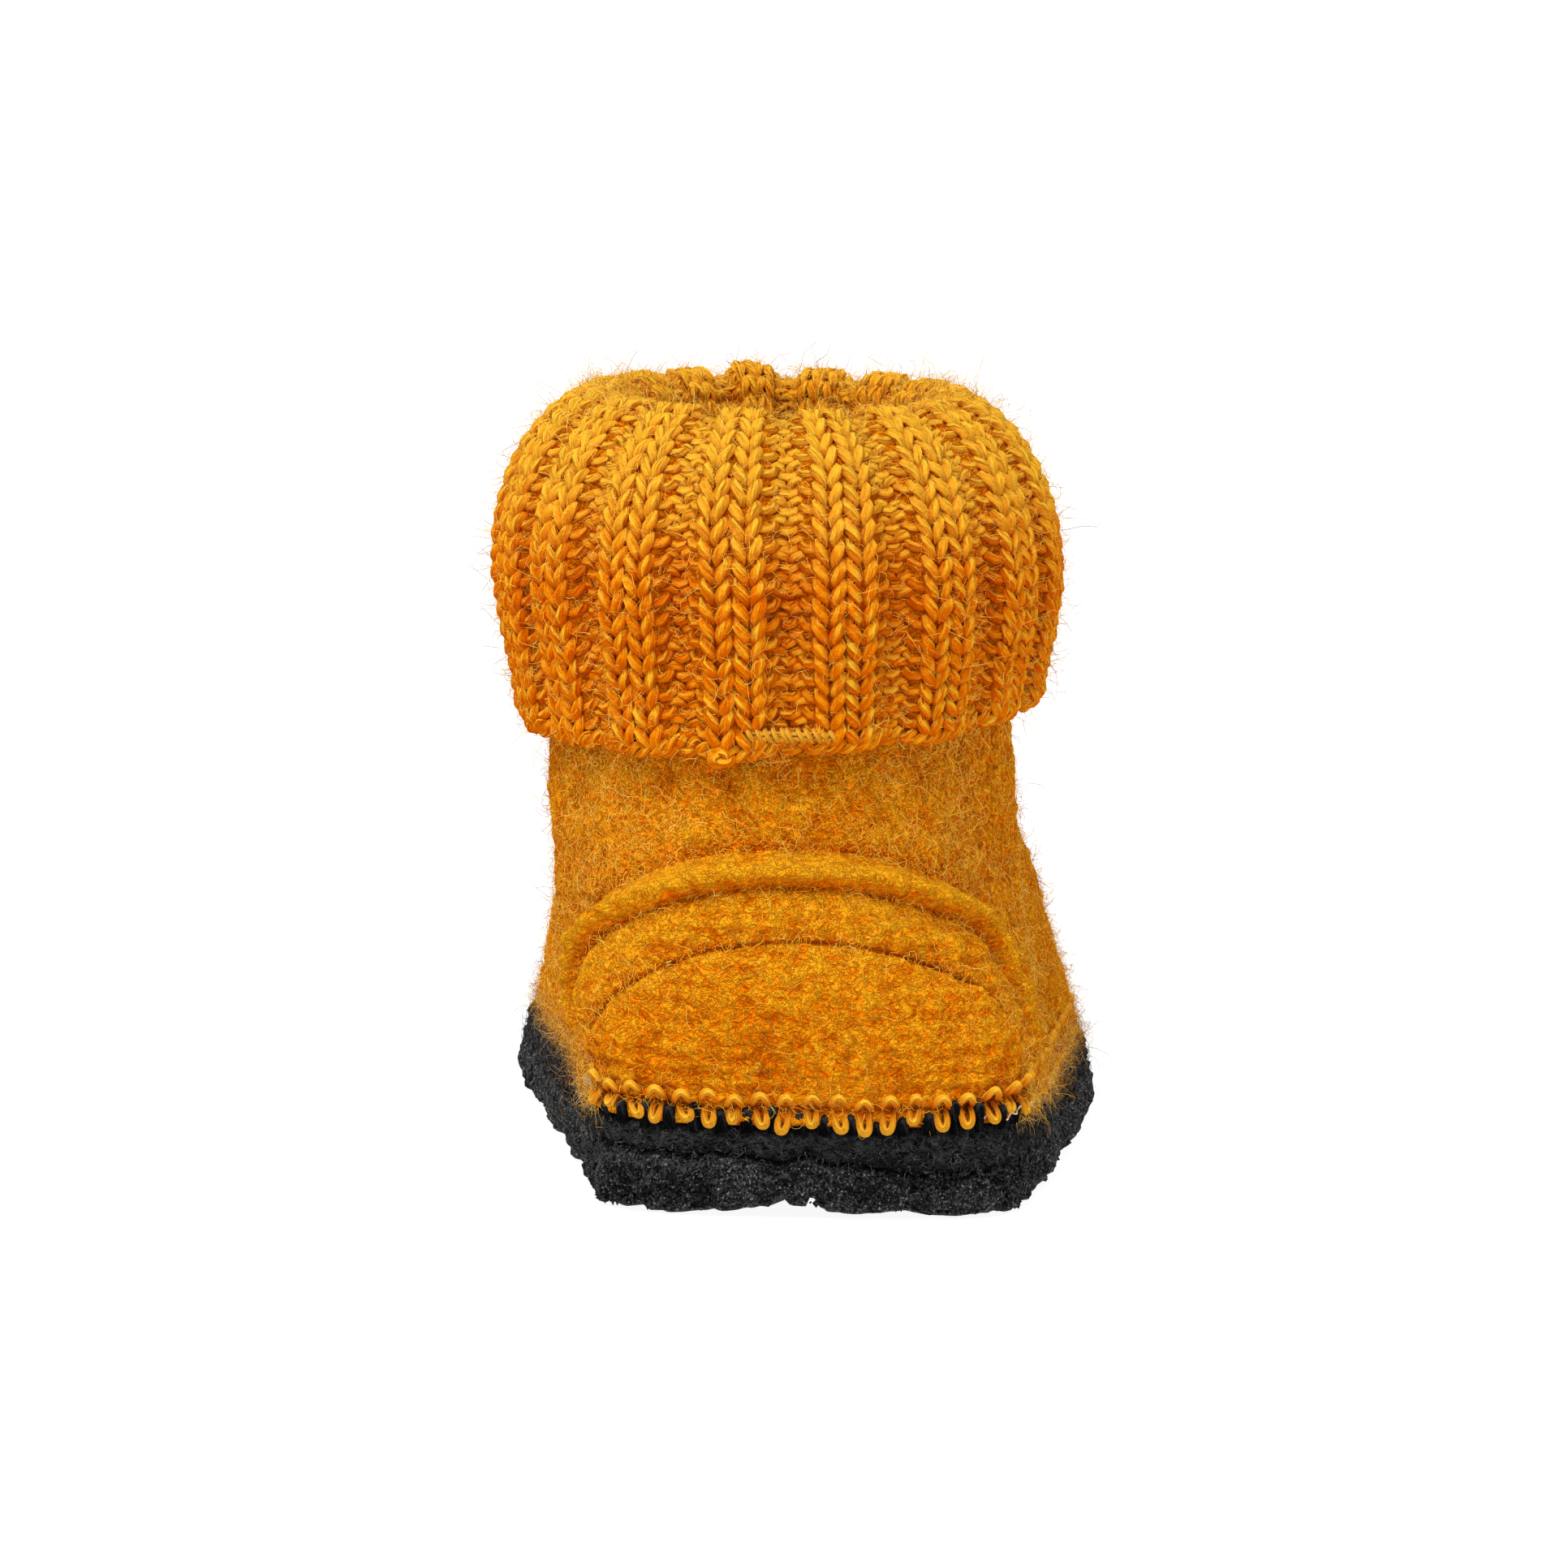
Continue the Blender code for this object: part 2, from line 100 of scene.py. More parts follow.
# Wall of the upper from band to collar, on three lines. Columns: share of the way in to the
# collar and share of the height at the heel, the same at the side and at the toe, then how far
# the back of the heel and the ankle swell out.
WALL_LEVELS = (
    (0.00, 0.000, 0.00, 0.000, 0.000, 0.000, 0.0000, 0.0000),
    (0.18, 0.095, 0.06, 0.105, -0.010, 0.125, 0.0008, 0.0002),
    (0.44, 0.200, 0.16, 0.200, 0.012, 0.213, 0.0018, 0.0004),
    (0.70, 0.310, 0.25, 0.296, 0.080, 0.286, 0.0024, 0.0005),
    (0.90, 0.425, 0.32, 0.384, 0.230, 0.357, 0.0022, 0.0005),
    (0.98, 0.540, 0.44, 0.467, 0.440, 0.424, 0.0012, 0.0006),
    (1.00, 0.655, 0.66, 0.550, 0.680, 0.500, 0.0004, 0.0008),
    (1.00, 0.775, 0.84, 0.652, 0.880, 0.595, 0.0000, 0.0004),
    (1.00, 0.890, 0.96, 0.804, 0.985, 0.757, 0.0000, 0.0000),
    (1.00, 1.000, 1.00, 1.000, 1.000, 1.000, 0.0000, 0.0000),
)
HEEL_TO_SIDE = (0.05, 0.55)
SIDE_TO_TOE = (0.50, 1.00)
HEEL_SWELL_FADE = (0.01, 0.12)
ANKLE_SWELL_FADE = (0.30, 0.60)


# Curves and noise

def smooth_curve(knots, values, at):
    """Cubic curve through values at the knots, with each slope taken from the neighbouring knots."""
    knots = np.asarray(knots, float)
    values = np.asarray(values, float)
    slopes = np.gradient(values, knots)
    at = np.clip(np.asarray(at, float), knots[0], knots[-1])
    left = np.clip(np.searchsorted(knots, at, side="right") - 1, 0, len(knots) - 2)
    span = knots[left + 1] - knots[left]
    t = (at - knots[left]) / span
    rise = values[left + 1] - values[left]
    bend = slopes[left] * span
    end_bend = slopes[left + 1] * span
    return values[left] + t * (bend + t * (3 * rise - 2 * bend - end_bend + t * (bend + end_bend - 2 * rise)))


def smooth_step(start, end, at):
    """0 up to the start and 1 from the end on."""
    t = np.clip((np.asarray(at, float) - start) / (end - start), 0.0, 1.0)
    return t * t * (3 - 2 * t)


def bell(at, middle, span):
    """1 at the middle, falling to 0 on both sides of it."""
    return np.exp(-((at - middle) / span) ** 2)


def column(table, index):
    return [row[index] for row in table]


def table_curve(table, index, at):
    """Smooth curve through one column of a table, with the knots in its first column."""
    return smooth_curve(column(table, 0), column(table, index), at)


def unit(vectors):
    return vectors / np.maximum(np.linalg.norm(vectors, axis=-1, keepdims=True), 1e-12)


def run_along(points):
    """Length along a line from its start to each of its points."""
    return np.concatenate([[0], np.cumsum(np.linalg.norm(np.diff(points, axis=0), axis=1))])


def raised(flat, height):
    """Points in space from points in the plane and a height."""
    return np.concatenate([flat, np.broadcast_to(height, flat.shape[:-1])[..., None]], axis=-1)


def noise(points, size, seed):
    """Smooth noise from -1 to 1 at each point, with lumps of the given size."""
    at = np.asarray(points, float) / size + 1000.0
    cell = np.floor(at).astype(np.uint64)
    part = at - cell
    part = part * part * (3 - 2 * part)
    total = np.zeros(at.shape[:-1])
    primes = np.array([73856093, 19349663, 83492791], np.uint64)
    for corner in range(8):
        step = np.array([corner & 1, corner >> 1 & 1, corner >> 2 & 1], np.uint64)
        mixed = ((cell + step) * primes).sum(axis=-1) + np.uint64(seed * 7919)
        mixed = (mixed ^ (mixed >> np.uint64(15))) * np.uint64(2246822519)
        mixed = (mixed ^ (mixed >> np.uint64(13))) * np.uint64(3266489917)
        value = ((mixed >> np.uint64(16)) & np.uint64(65535)).astype(float) / 32767.5 - 1
        total += value * np.prod(np.where(step > 0, part, 1 - part), axis=-1)
    return total


def lumps(points, *layers):
    """Sum of layers of noise, each with its height, size and seed."""
    return sum(height * noise(points, size, seed) for height, size, seed in layers)


# Shape of the sole's outline and of the upper

def angles(count, crowding):
    """Angles round the shoe, closer at the heel: 0 at its back, then the outer side, then the toe."""
    even = np.arange(count) * FULL_TURN / count
    return even - crowding * np.sin(even)


def along(angle):
    """Share of the sole's length at each angle."""
    return (1 - np.cos(angle)) / 2


def outline(angle):
    """Sole outline as x and y at each angle."""
    turn = np.mod(angle, FULL_TURN)
    outer = turn <= math.pi
    half_turn = np.where(outer, turn, FULL_TURN - turn)
    knots = np.arccos(1 - 2 * np.array(column(SOLE_OUTLINE, 0)))
    inner_x = -smooth_curve(knots, column(SOLE_OUTLINE, 1), half_turn)
    outer_x = smooth_curve(knots, column(SOLE_OUTLINE, 2), half_turn)
    return np.stack([np.where(outer, outer_x, inner_x), SOLE_LENGTH * along(turn)], axis=-1)


def outline_inward(angle):
    step = 0.01
    ahead = outline(angle + step) - outline(angle - step)
    return unit(np.stack([-ahead[..., 1], ahead[..., 0]], axis=-1))


def outward(angle):
    """Level way out of the outline, in space."""
    return -raised(outline_inward(angle), 0.0)


def inset_outline(angle, inset):
    """Sole outline moved inwards by inset, square to itself."""
    return outline(angle) + outline_inward(angle) * np.asarray(inset)[..., None]


def even_angles(count):
    """Angles that split the sole outline into equal lengths, from the back of the heel."""
    fine = np.linspace(0, FULL_TURN, FINE + 1)
    length = run_along(outline(fine))
    return np.interp(np.arange(count) * length[-1] / count, length, fine)


def toe_lift(y):
    """Height that the toe spring adds at y."""
    ahead = np.clip((np.asarray(y) / SOLE_LENGTH - TOE_SPRING_START) / (1 - TOE_SPRING_START), 0, 1)
    return TOE_SPRING * ahead ** 2


def band_top(angle):
    share = along(angle)
    return table_curve(UPPER_FOOT, 2, share) + toe_lift(share * SOLE_LENGTH)


def foot_inset(angle):
    return table_curve(UPPER_FOOT, 1, along(angle))


def upper_foot(angle):
    return inset_outline(angle, foot_inset(angle))


def collar(foot):
    """Collar point above each foot point, on the same ray from the middle of the collar's oval."""
    reach = np.array([COLLAR_HALF_WIDTH, COLLAR_HALF_WIDTH + COLLAR_DEPTH_EXTRA])
    ray = unit((foot - np.array([0.0, COLLAR_Y])) / reach)
    return np.array([COLLAR_X, COLLAR_Y]) + ray * reach


def wall_curve(index, level):
    """One column of the wall table at a level."""
    return smooth_curve(np.linspace(0, 1, len(WALL_LEVELS)), column(WALL_LEVELS, index), level)


def wall_value(level, share, first):
    """A value of the wall table at a level, mixed from heel to side to toe by share of the length.

    first is its column for the heel. Those for the side and the toe are two and four columns further on.
    """
    heel, side, toe = (wall_curve(first + more, level) for more in (0, 2, 4))
    to_side = smooth_step(*HEEL_TO_SIDE, share)
    to_toe = smooth_step(*SIDE_TO_TOE, share)
    return heel + (side - heel) * to_side + (toe - side) * to_toe


def upper_face(angle, level):
    """Outer face of the felt upper: level 0 is the top of the band and 1 the collar."""
    angle, level = np.broadcast_arrays(np.asarray(angle, float), np.asarray(level, float))
    share = along(angle)
    foot = upper_foot(angle)
    heel_swell = wall_curve(6, level) * (1 - smooth_step(*HEEL_SWELL_FADE, share))
    ankle_swell = wall_curve(7, level) * (1 - smooth_step(*ANKLE_SWELL_FADE, share))
    swell = (heel_swell + ankle_swell)[..., None]
    inwards = wall_value(level, share, 0)[..., None]
    flat = foot + (collar(foot) - foot) * inwards - outline_inward(angle) * swell
    start = band_top(angle) + GAP
    return raised(flat, start + (COLLAR_HEIGHT - start) * wall_value(level, share, 1))


def upper_normal(angle, level):
    """Unit normal of the upper's outer face, pointing out."""
    step = 0.004
    round_it = upper_face(angle + step, level) - upper_face(angle - step, level)
    up_it = upper_face(angle, np.clip(level + step, 0, 1)) - upper_face(angle, np.clip(level - step, 0, 1))
    return unit(np.cross(round_it, up_it))


def heel_angle(reach):
    """Angle at each distance round the heel from its back, measured along the foot of the upper."""
    angle = np.linspace(-math.pi / 2, math.pi / 2, FINE // 4 + 1)
    length = run_along(upper_foot(angle))
    return np.interp(reach, length - np.interp(0, angle, length), angle)


def level_at_height(angle, height):
    """Level of the upper at each angle where its face has the given height."""
    levels = np.linspace(0, 1, 80)
    heights = upper_face(angle[:, None], levels[None, :])[..., 2]
    return np.array([np.interp(one, row, levels) for one, row in zip(height, heights)])


# The shapes above start at the back of the heel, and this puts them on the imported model
SHIFT = np.array([
    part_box("outsole")[0].x - outline(np.linspace(0, FULL_TURN, FINE // 2 + 1))[:, 0].min(),
    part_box("outsole")[0].y,
    0.0,
])


# Meshes

def grid_quads(rows, columns, closed):
    """Corner numbers of the quads of a grid, whose points are numbered row by row."""
    index = np.arange(rows * columns).reshape(rows, columns)
    after = np.roll(index, -1, axis=1)
    if not closed:
        index = index[:, :-1]
        after = after[:, :-1]
    return np.stack([index[:-1], after[:-1], after[1:], index[1:]], axis=-1).reshape(-1, 4)


def looped_quads(rows, columns, closed=True):
    """The same where the last row joins the first."""
    return grid_quads(rows + 1, columns, closed) % (rows * columns)


def make_piece(name, points, faces, look, nodes=(), uv=None, marks=None, facing=None):
    """A smooth-shaded mesh piece on the shoe's only body. nodes are the CAD nodes that it stands for.

    uv holds yarn coordinates. marks holds named values of the points: painted_dip_shade, the painted shade of
    yarn where it dips in, and pale_fuzz_and_painted_light, how pale its fuzz and painted top light make it,
    both from
    0 to 1, and painted_relief_light, the felt's painted light and shade by how far it stands out, from -2 to
    1.6.
    facing holds the ways that the points are shaded as facing, where these aren't the mesh's own.
    """
    data = bpy.data.meshes.new(name)
    points = np.asarray(points, float).reshape(-1, 3) + SHIFT
    groups = faces if isinstance(faces, list) else [faces]
    corners = np.concatenate([group.ravel() for group in groups])
    sizes = np.concatenate([np.full(len(group), group.shape[1]) for group in groups])
    data.vertices.add(len(points))
    data.vertices.foreach_set("co", points.astype(np.float32).ravel())
    data.loops.add(len(corners))
    data.loops.foreach_set("vertex_index", corners.astype(np.int32))
    data.polygons.add(len(sizes))
    data.polygons.foreach_set("loop_start", (np.cumsum(sizes) - sizes).astype(np.int32))
    if uv is not None:
        layer = data.uv_layers.new(name="Yarn")
        layer.data.foreach_set("uv", np.asarray(uv, np.float32).ravel())
    for mark, values in (marks or {}).items():
        layer = data.attributes.new(mark, "FLOAT", "POINT")
        layer.data.foreach_set("value", np.asarray(values, np.float32).ravel())
    data.update(calc_edges=True)
    data.validate()
    data.shade_smooth()
    if facing is not None:
        data.normals_split_custom_set_from_vertices(facing.tolist())
    data.materials.append(look)
    made = bpy.data.objects.new(name, data)
    bpy.context.scene.collection.objects.link(made)
    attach(made, "root")
    if nodes:
        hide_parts(*nodes)


def tubes(lines, normals, radii, sides, closed):
    """Points, quads and yarn coordinates of tubes along lines, an array of lines by points by 3."""
    lines = np.asarray(lines, float)
    count, steps = lines.shape[:2]
    if closed:
        ahead = np.roll(lines, -1, axis=1) - np.roll(lines, 1, axis=1)
    else:
        ahead = np.gradient(lines, axis=1)
    ahead = unit(ahead)
    up = unit(normals - ahead * (normals * ahead).sum(axis=-1, keepdims=True))
    side = np.cross(up, ahead)
    turn = np.arange(sides) * FULL_TURN / sides
    ring = side[:, :, None] * np.cos(turn)[:, None] + up[:, :, None] * np.sin(turn)[:, None]
    radii = np.broadcast_to(np.asarray(radii, float), (count, steps))
    points = lines[:, :, None] + ring * radii[:, :, None, None]
    rows = steps if closed else steps - 1
    index = np.arange(count * steps * sides).reshape(count, steps, sides)
    beside = np.roll(index, -1, axis=2)
    over = np.roll(index, -1, axis=1)
    over_beside = np.roll(beside, -1, axis=1)
    faces = np.stack([index, beside, over_beside, over], axis=-1)[:, :rows].reshape(-1, 4)
    lengths = np.linalg.norm(np.diff(lines, axis=1, append=lines[:, :1]), axis=-1)
    run = np.concatenate([np.zeros((count, 1)), np.cumsum(lengths, axis=1)], axis=1)
    u0 = np.broadcast_to(run[:, :rows, None], (count, rows, sides))
    u1 = np.broadcast_to(run[:, 1:rows + 1, None], (count, rows, sides))
    v0 = np.broadcast_to(np.arange(sides) / sides, (count, rows, sides))
    v1 = v0 + 1 / sides
    corners = [(u0, v0), (u0, v1), (u1, v1), (u1, v0)]
    uv = np.stack([np.stack(pair, axis=-1) for pair in corners], axis=-2).reshape(-1, 2)
    if not closed:
        ends = []
        for row, flip in ((0, True), (steps - 1, False)):
            fan = index[:, row]
            for k in range(1, sides - 1, 2):
                last = fan[:, min(k + 2, sides - 1)]
                quad = [fan[:, 0], fan[:, k], fan[:, k + 1], last]
                ends.append(np.stack(quad[::-1] if flip else quad, axis=-1))
        faces = np.concatenate([faces] + ends)
        uv = np.concatenate([uv, np.zeros((len(ends) * count * 4, 2))])
    return points.reshape(-1, 3), faces, uv


def joined(parts):
    """One set of points, faces and yarn coordinates from several."""
    points, faces, uvs = zip(*parts)
    starts = np.cumsum([0] + [len(some) for some in points])
    faces = [some + start for some, start in zip(faces, starts)]
    return np.concatenate(points), np.concatenate(faces), np.concatenate(uvs)


# Materials

class Look:
    """A material and its shader nodes, whose inputs are values, colours or other nodes' outputs."""

    def __init__(self, name):
        self.material = bpy.data.materials.new(name)
        self.material.use_nodes = True
        self.tree = self.material.node_tree

    def feed(self, node, inputs):
        for key, value in inputs.items():
            socket = node.inputs[key]
            if isinstance(value, bpy.types.NodeSocket):
                self.tree.links.new(value, socket)
            elif socket.type == "RGBA":
                socket.default_value = (*value, 1.0)
            else:
                socket.default_value = value

    def node(self, kind, inputs, **settings):
        made = self.tree.nodes.new(kind)
        for key, value in settings.items():
            setattr(made, key, value)
        self.feed(made, inputs)
        return made

    def shade(self, inputs):
        """Give the main shader its inputs. The result is the finished material."""
        self.feed(self.tree.nodes["Principled BSDF"], inputs)
        return self.material

    def wool(self, colour, normal, sheen, sheen_roughness, sheen_tint):
        """Finish as wool, which has no gloss but the sheen of its fuzz."""
        return self.shade({
            "Base Color": colour,
            "Normal": normal,
            "Roughness": 1.0,
            "Specular IOR Level": 0.0,
            "Sheen Weight": sheen,
            "Sheen Roughness": sheen_roughness,
            "Sheen Tint": sheen_tint,
        })

    def place(self):
        return self.node("ShaderNodeTexCoord", {}).outputs["Object"]

    def mark(self, name):
        """A named value of the mesh's points."""
        return self.node("ShaderNodeAttribute", {}, attribute_name=name).outputs["Fac"]

    def maths(self, kind, *values):
        return self.node("ShaderNodeMath", dict(enumerate(values)), operation=kind).outputs[0]

    def weighted(self, *terms, start=0.0):
        """Sum of start and of terms, each of them a value and its weight."""
        for value, weight in terms:
            start = self.maths("MULTIPLY_ADD", value, weight, start)
        return start

    def noise(self, place, scale, detail=2.0, distortion=0.0, roughness=0.5):
        inputs = {"Vector": place, "Scale": scale, "Detail": detail, "Roughness": roughness}
        inputs["Distortion"] = distortion
        return self.node("ShaderNodeTexNoise", inputs).outputs[0]

    def map_range(self, value, low, high, to_low=0.0, to_high=1.0):
        inputs = {"Value": value, "From Min": low, "From Max": high, "To Min": to_low, "To Max": to_high}
        return self.node("ShaderNodeMapRange", inputs).outputs[0]

    def fibre_lines(self, place, scale, width, distortion):
        """Curly thin lines: where smooth noise crosses its middle value."""
        value = self.noise(place, scale, detail=1.5, distortion=distortion)
        off = self.maths("ABSOLUTE", self.maths("SUBTRACT", value, 0.5))
        return self.map_range(off, 0.0, width, 1.0, 0.0)

    def ramp(self, value, *stops):
        made = self.node("ShaderNodeValToRGB", {"Fac": value})
        points = made.color_ramp.elements
        while len(points) < len(stops):
            points.new(0.5)
        for point, (place, colour) in zip(points, stops):
            point.position = place
            point.color = (*colour, 1.0)
        return made.outputs[0]

    def mix(self, share, first, second):
        return self.node("ShaderNodeMix", {0: share, 6: first, 7: second}, data_type="RGBA").outputs[2]

    def bump(self, height, strength, distance):
        inputs = {"Height": height, "Strength": strength, "Distance": distance}
        return self.node("ShaderNodeBump", inputs).outputs[0]

    def facing_up_painted_light(self, normal):
        """How far a bumped surface faces up, from -1 to 1, for painted top light: paler on top and redder
        underneath.
        """
        return self.node("ShaderNodeSeparateXYZ", {0: normal}).outputs[2]


# Curly lines of felt, coarse, medium and small: scale, width, distortion
FELT_LINES = ((360.0, 0.012, 1.8), (640.0, 0.020, 1.2), (1150.0, 0.034, 0.8))
CLUMP_STRETCH = (1.0, 1.0, 1.25)
RECESS_SHADE = 0.55
FELT_BUMP = 0.0013
YARN_PLIES = 3
YARN_TURNS_PER_METRE = 70.0
YARN_BUMP = 0.0005
CRUMB_BUMP = 0.0012
GLINT_COLOUR = (0.30, 0.29, 0.27)


def felt_material(name, dark, middle, light, fibre, sheen_tint):
    """Boiled wool: small clumps lying in rows and curly paler fibres, with painted shade in recesses and
    painted light on raised and upward-facing places.
    """
    look = Look(name)
    place = look.place()
    flattened = look.node("ShaderNodeMapping", {"Vector": place, "Scale": CLUMP_STRETCH}).outputs[0]
    clumps = look.noise(flattened, 560.0, detail=3.0, distortion=1.8, roughness=0.55)
    fine = look.noise(place, 2100.0)
    broad = look.noise(place, 120.0, detail=1.0)
    # Painted light and shade from the mesh's relief mark: paler where the felt stands out, darker where it
    # lies in
    painted_relief_light = look.mark("painted_relief_light")
    value = look.weighted((clumps, 0.82), (fine, 0.18), (broad, 0.06), (painted_relief_light, 0.11), start=-0.03)
    coarse, medium, small = (look.fibre_lines(place, *line) for line in FELT_LINES)
    fibres = look.maths("MAXIMUM", coarse, look.maths("MAXIMUM", medium, small))
    normal = look.bump(look.weighted((fibres, 0.20), start=value), 1.0, FELT_BUMP)
    up = look.facing_up_painted_light(normal)
    # Painted top light: upward-facing felt is paler and downward-facing felt redder
    tone_and_painted_light = look.weighted((value, 0.80), (up, 0.14))
    # Painted shade: the lowest stop is the dark colour darkened for recesses
    painted_recess_shade = tuple(RECESS_SHADE * part for part in dark)
    base = look.ramp(tone_and_painted_light, (0.21, painted_recess_shade), (0.29, dark), (0.40, middle), (0.53, light))
    # The pale fibres show more on upward-facing felt, as a painted highlight
    fibres_and_painted_highlight = look.maths("MULTIPLY", fibres, look.map_range(up, -0.10, 0.50, 0.05, 0.75))
    return look.wool(look.mix(fibres_and_painted_highlight, base, fibre), normal, 0.20, 0.25, sheen_tint)


def yarn_material(name, dark, middle, light, deep, pale, sheen_tint):
    """Plied wool yarn: fibres run along it and twist round it. It takes a deep colour as painted shade where
    it dips in, and a pale one for its fuzz and painted top light.
    """
    look = Look(name)
    place = look.place()
    yarn = look.node("ShaderNodeUVMap", {}, uv_map="Yarn").outputs[0]
    run, turn = look.node("ShaderNodeSeparateXYZ", {0: yarn}).outputs[:2]
    twist = look.weighted((run, YARN_TURNS_PER_METRE), start=turn)
    ply = look.maths("SINE", look.maths("MULTIPLY", twist, FULL_TURN * YARN_PLIES))
    inputs = {0: look.maths("MULTIPLY", run, 480.0), 1: look.maths("MULTIPLY", twist, 10.0)}
    streaks = look.noise(look.node("ShaderNodeCombineXYZ", inputs).outputs[0], 1.0, detail=2.5)
    patches = look.noise(place, 380.0)
    grain = look.noise(place, 2300.0)
    value = look.weighted((streaks, 0.66), (patches, 0.22), (ply, 0.06), (grain, 0.12))
    normal = look.bump(look.weighted((ply, 0.45), (streaks, 1.6), (grain, 0.3)), 0.9, YARN_BUMP)
    # Painted top light: upward-facing yarn is paler and downward-facing yarn redder
    tone_and_painted_light = look.weighted((value, 0.80), (look.facing_up_painted_light(normal), 0.12))
    base = look.ramp(tone_and_painted_light, (0.31, dark), (0.42, middle), (0.54, light))
    # Pale colour for fuzz and painted top light, then the deep colour as painted shade where the yarn dips in
    fuzz_and_painted_light_paled = look.mix(look.mark("pale_fuzz_and_painted_light"), base, pale)
    return look.wool(look.mix(look.mark("painted_dip_shade"), fuzz_and_painted_light_paled, deep), normal, 0.10, 0.35, sheen_tint)


def crumb_material(name, dark, middle, light):
    """Charcoal felt under a crumbly latex skin: grains, pits and a few small glints."""
    look = Look(name)
    place = look.place()
    grains = look.node("ShaderNodeTexVoronoi", {"Vector": place, "Scale": 1500.0}).outputs["Distance"]
    coarse = look.noise(place, 700.0, detail=4.0, distortion=0.5, roughness=0.65)
    fine = look.noise(place, 2400.0, detail=3.0)
    value = look.weighted((coarse, 0.4), (fine, 0.6))
    base = look.ramp(value, (0.40, dark), (0.50, middle), (0.62, light))
    fibres = look.fibre_lines(place, 700.0, 0.020, 1.0)
    glint = look.map_range(look.noise(place, 2600.0, detail=1.0), 0.63, 0.70)
    pale = look.maths("MAXIMUM", look.maths("MULTIPLY", fibres, 0.25), look.maths("MULTIPLY", glint, 0.8))
    return look.shade({
        "Base Color": look.mix(pale, base, GLINT_COLOUR),
        "Normal": look.bump(look.weighted((value, 1.2), (grains, -0.5)), 1.0, CRUMB_BUMP),
        "Roughness": look.map_range(glint, 0.0, 1.0, 0.85, 0.35),
        "Specular IOR Level": 0.15,
    })


def hair_material(name, root, tip):
    """Single fibres, a little paler in places."""
    look = Look(name)
    value = look.noise(look.place(), 900.0, detail=1.0)
    colour = look.ramp(value, (0.35, root), (0.65, tip))
    return look.shade({"Base Color": colour, "Roughness": 0.8, "Specular IOR Level": 0.08})


ORANGE_FELT = felt_material(
    "orange_felt", (0.74, 0.100, 0.0002), (0.89, 0.215, 0.0006), (1.00, 0.420, 0.010),
    (1.00, 0.55, 0.028), (1.0, 0.50, 0.03))
# Darker, redder felt of the knit's backing: painted shade in the gaps between the loops
PAINTED_SHADE_FELT = felt_material(
    "painted_shade_felt", (0.55, 0.060, 0.0001), (0.70, 0.125, 0.0004), (0.84, 0.240, 0.0020),
    (0.92, 0.36, 0.010), (0.5, 0.20, 0.02))
CHARCOAL_FELT = felt_material(
    "charcoal_felt", (0.002, 0.002, 0.002), (0.011, 0.011, 0.012), (0.055, 0.055, 0.057),
    (0.17, 0.17, 0.175), (0.15, 0.15, 0.15))
GREY_FELT = felt_material(
    "grey_felt", (0.040, 0.040, 0.042), (0.070, 0.070, 0.075), (0.11, 0.11, 0.12),
    (0.18, 0.18, 0.19), (0.9, 0.9, 1.0))
# Yarn colours: dark, middle and light, then deep, the painted shade where yarn dips in, then pale, for its
# fuzz and painted top light, then the sheen tint
ORANGE_YARN = yarn_material(
    "orange_yarn", (0.75, 0.130, 0.0004), (0.90, 0.270, 0.003), (1.00, 0.54, 0.030),
    (0.62, 0.062, 0.0002), (1.00, 0.61, 0.045), (1.0, 0.60, 0.06))
TACK_THREAD = yarn_material(
    "tack_thread", (0.88, 0.30, 0.006), (0.97, 0.43, 0.024), (1.00, 0.58, 0.090),
    (0.60, 0.12, 0.001), (0.96, 0.54, 0.080), (1.0, 0.65, 0.20))
CHARCOAL_YARN = yarn_material(
    "charcoal_yarn", (0.002, 0.002, 0.002), (0.009, 0.009, 0.010), (0.040, 0.040, 0.042),
    (0.002, 0.002, 0.002), (0.10, 0.10, 0.11), (0.12, 0.12, 0.13))
CRUMB_SOLE = crumb_material(
    "crumb_sole", (0.0005, 0.0005, 0.0005), (0.006, 0.006, 0.0065), (0.070, 0.069, 0.070))
ORANGE_HAIR = hair_material("orange_hair", (0.97, 0.37, 0.006), (1.00, 0.58, 0.050))
BRIGHT_HAIR = hair_material("bright_hair", (0.98, 0.46, 0.022), (1.00, 0.65, 0.120))
TAN_HAIR = hair_material("tan_hair", (0.42, 0.23, 0.060), (0.78, 0.48, 0.160))
CHARCOAL_HAIR = hair_material("charcoal_hair", (0.018, 0.018, 0.019), (0.16, 0.16, 0.165))
PALE_HAIR = hair_material("pale_hair", (0.72, 0.50, 0.24), (0.85, 0.70, 0.48))


# Knitted cuff

# Half width and height of the middle of the cuff's wall, from the collar up and over to the hem
CUFF_PROFILE = (
    (0.0281, 0.0000),
    (0.0278, 0.0060),
    (0.0230, 0.0120),
    (0.0199, 0.0174),
    (0.0194, 0.0222),
    (0.0205, 0.0259),
    (0.0232, 0.0273),
    (0.0268, 0.0258),
    (0.0312, 0.0216),
    (0.0340, 0.0165),
    (0.0356, 0.0109),
    (0.0360, 0.0048),
    (0.0353, -0.0010),
    (0.0340, -0.0085),
    (0.0331, -0.0152),
)
CUFF_X = -0.0054
CUFF_LEAN = -0.03
PROFILE_RUN = run_along(np.array(CUFF_PROFILE))
CUFF_RUN = PROFILE_RUN[-1]
CUFF_WIDEST = max(column(CUFF_PROFILE, 0))
WIDEST_RUN = PROFILE_RUN[column(CUFF_PROFILE, 0).index(CUFF_WIDEST)]
WIDEST_SPAN = 0.009
CUFF_HIGHEST = max(column(CUFF_PROFILE, 1))
RIM_RUN = PROFILE_RUN[column(CUFF_PROFILE, 1).index(CUFF_HIGHEST)]
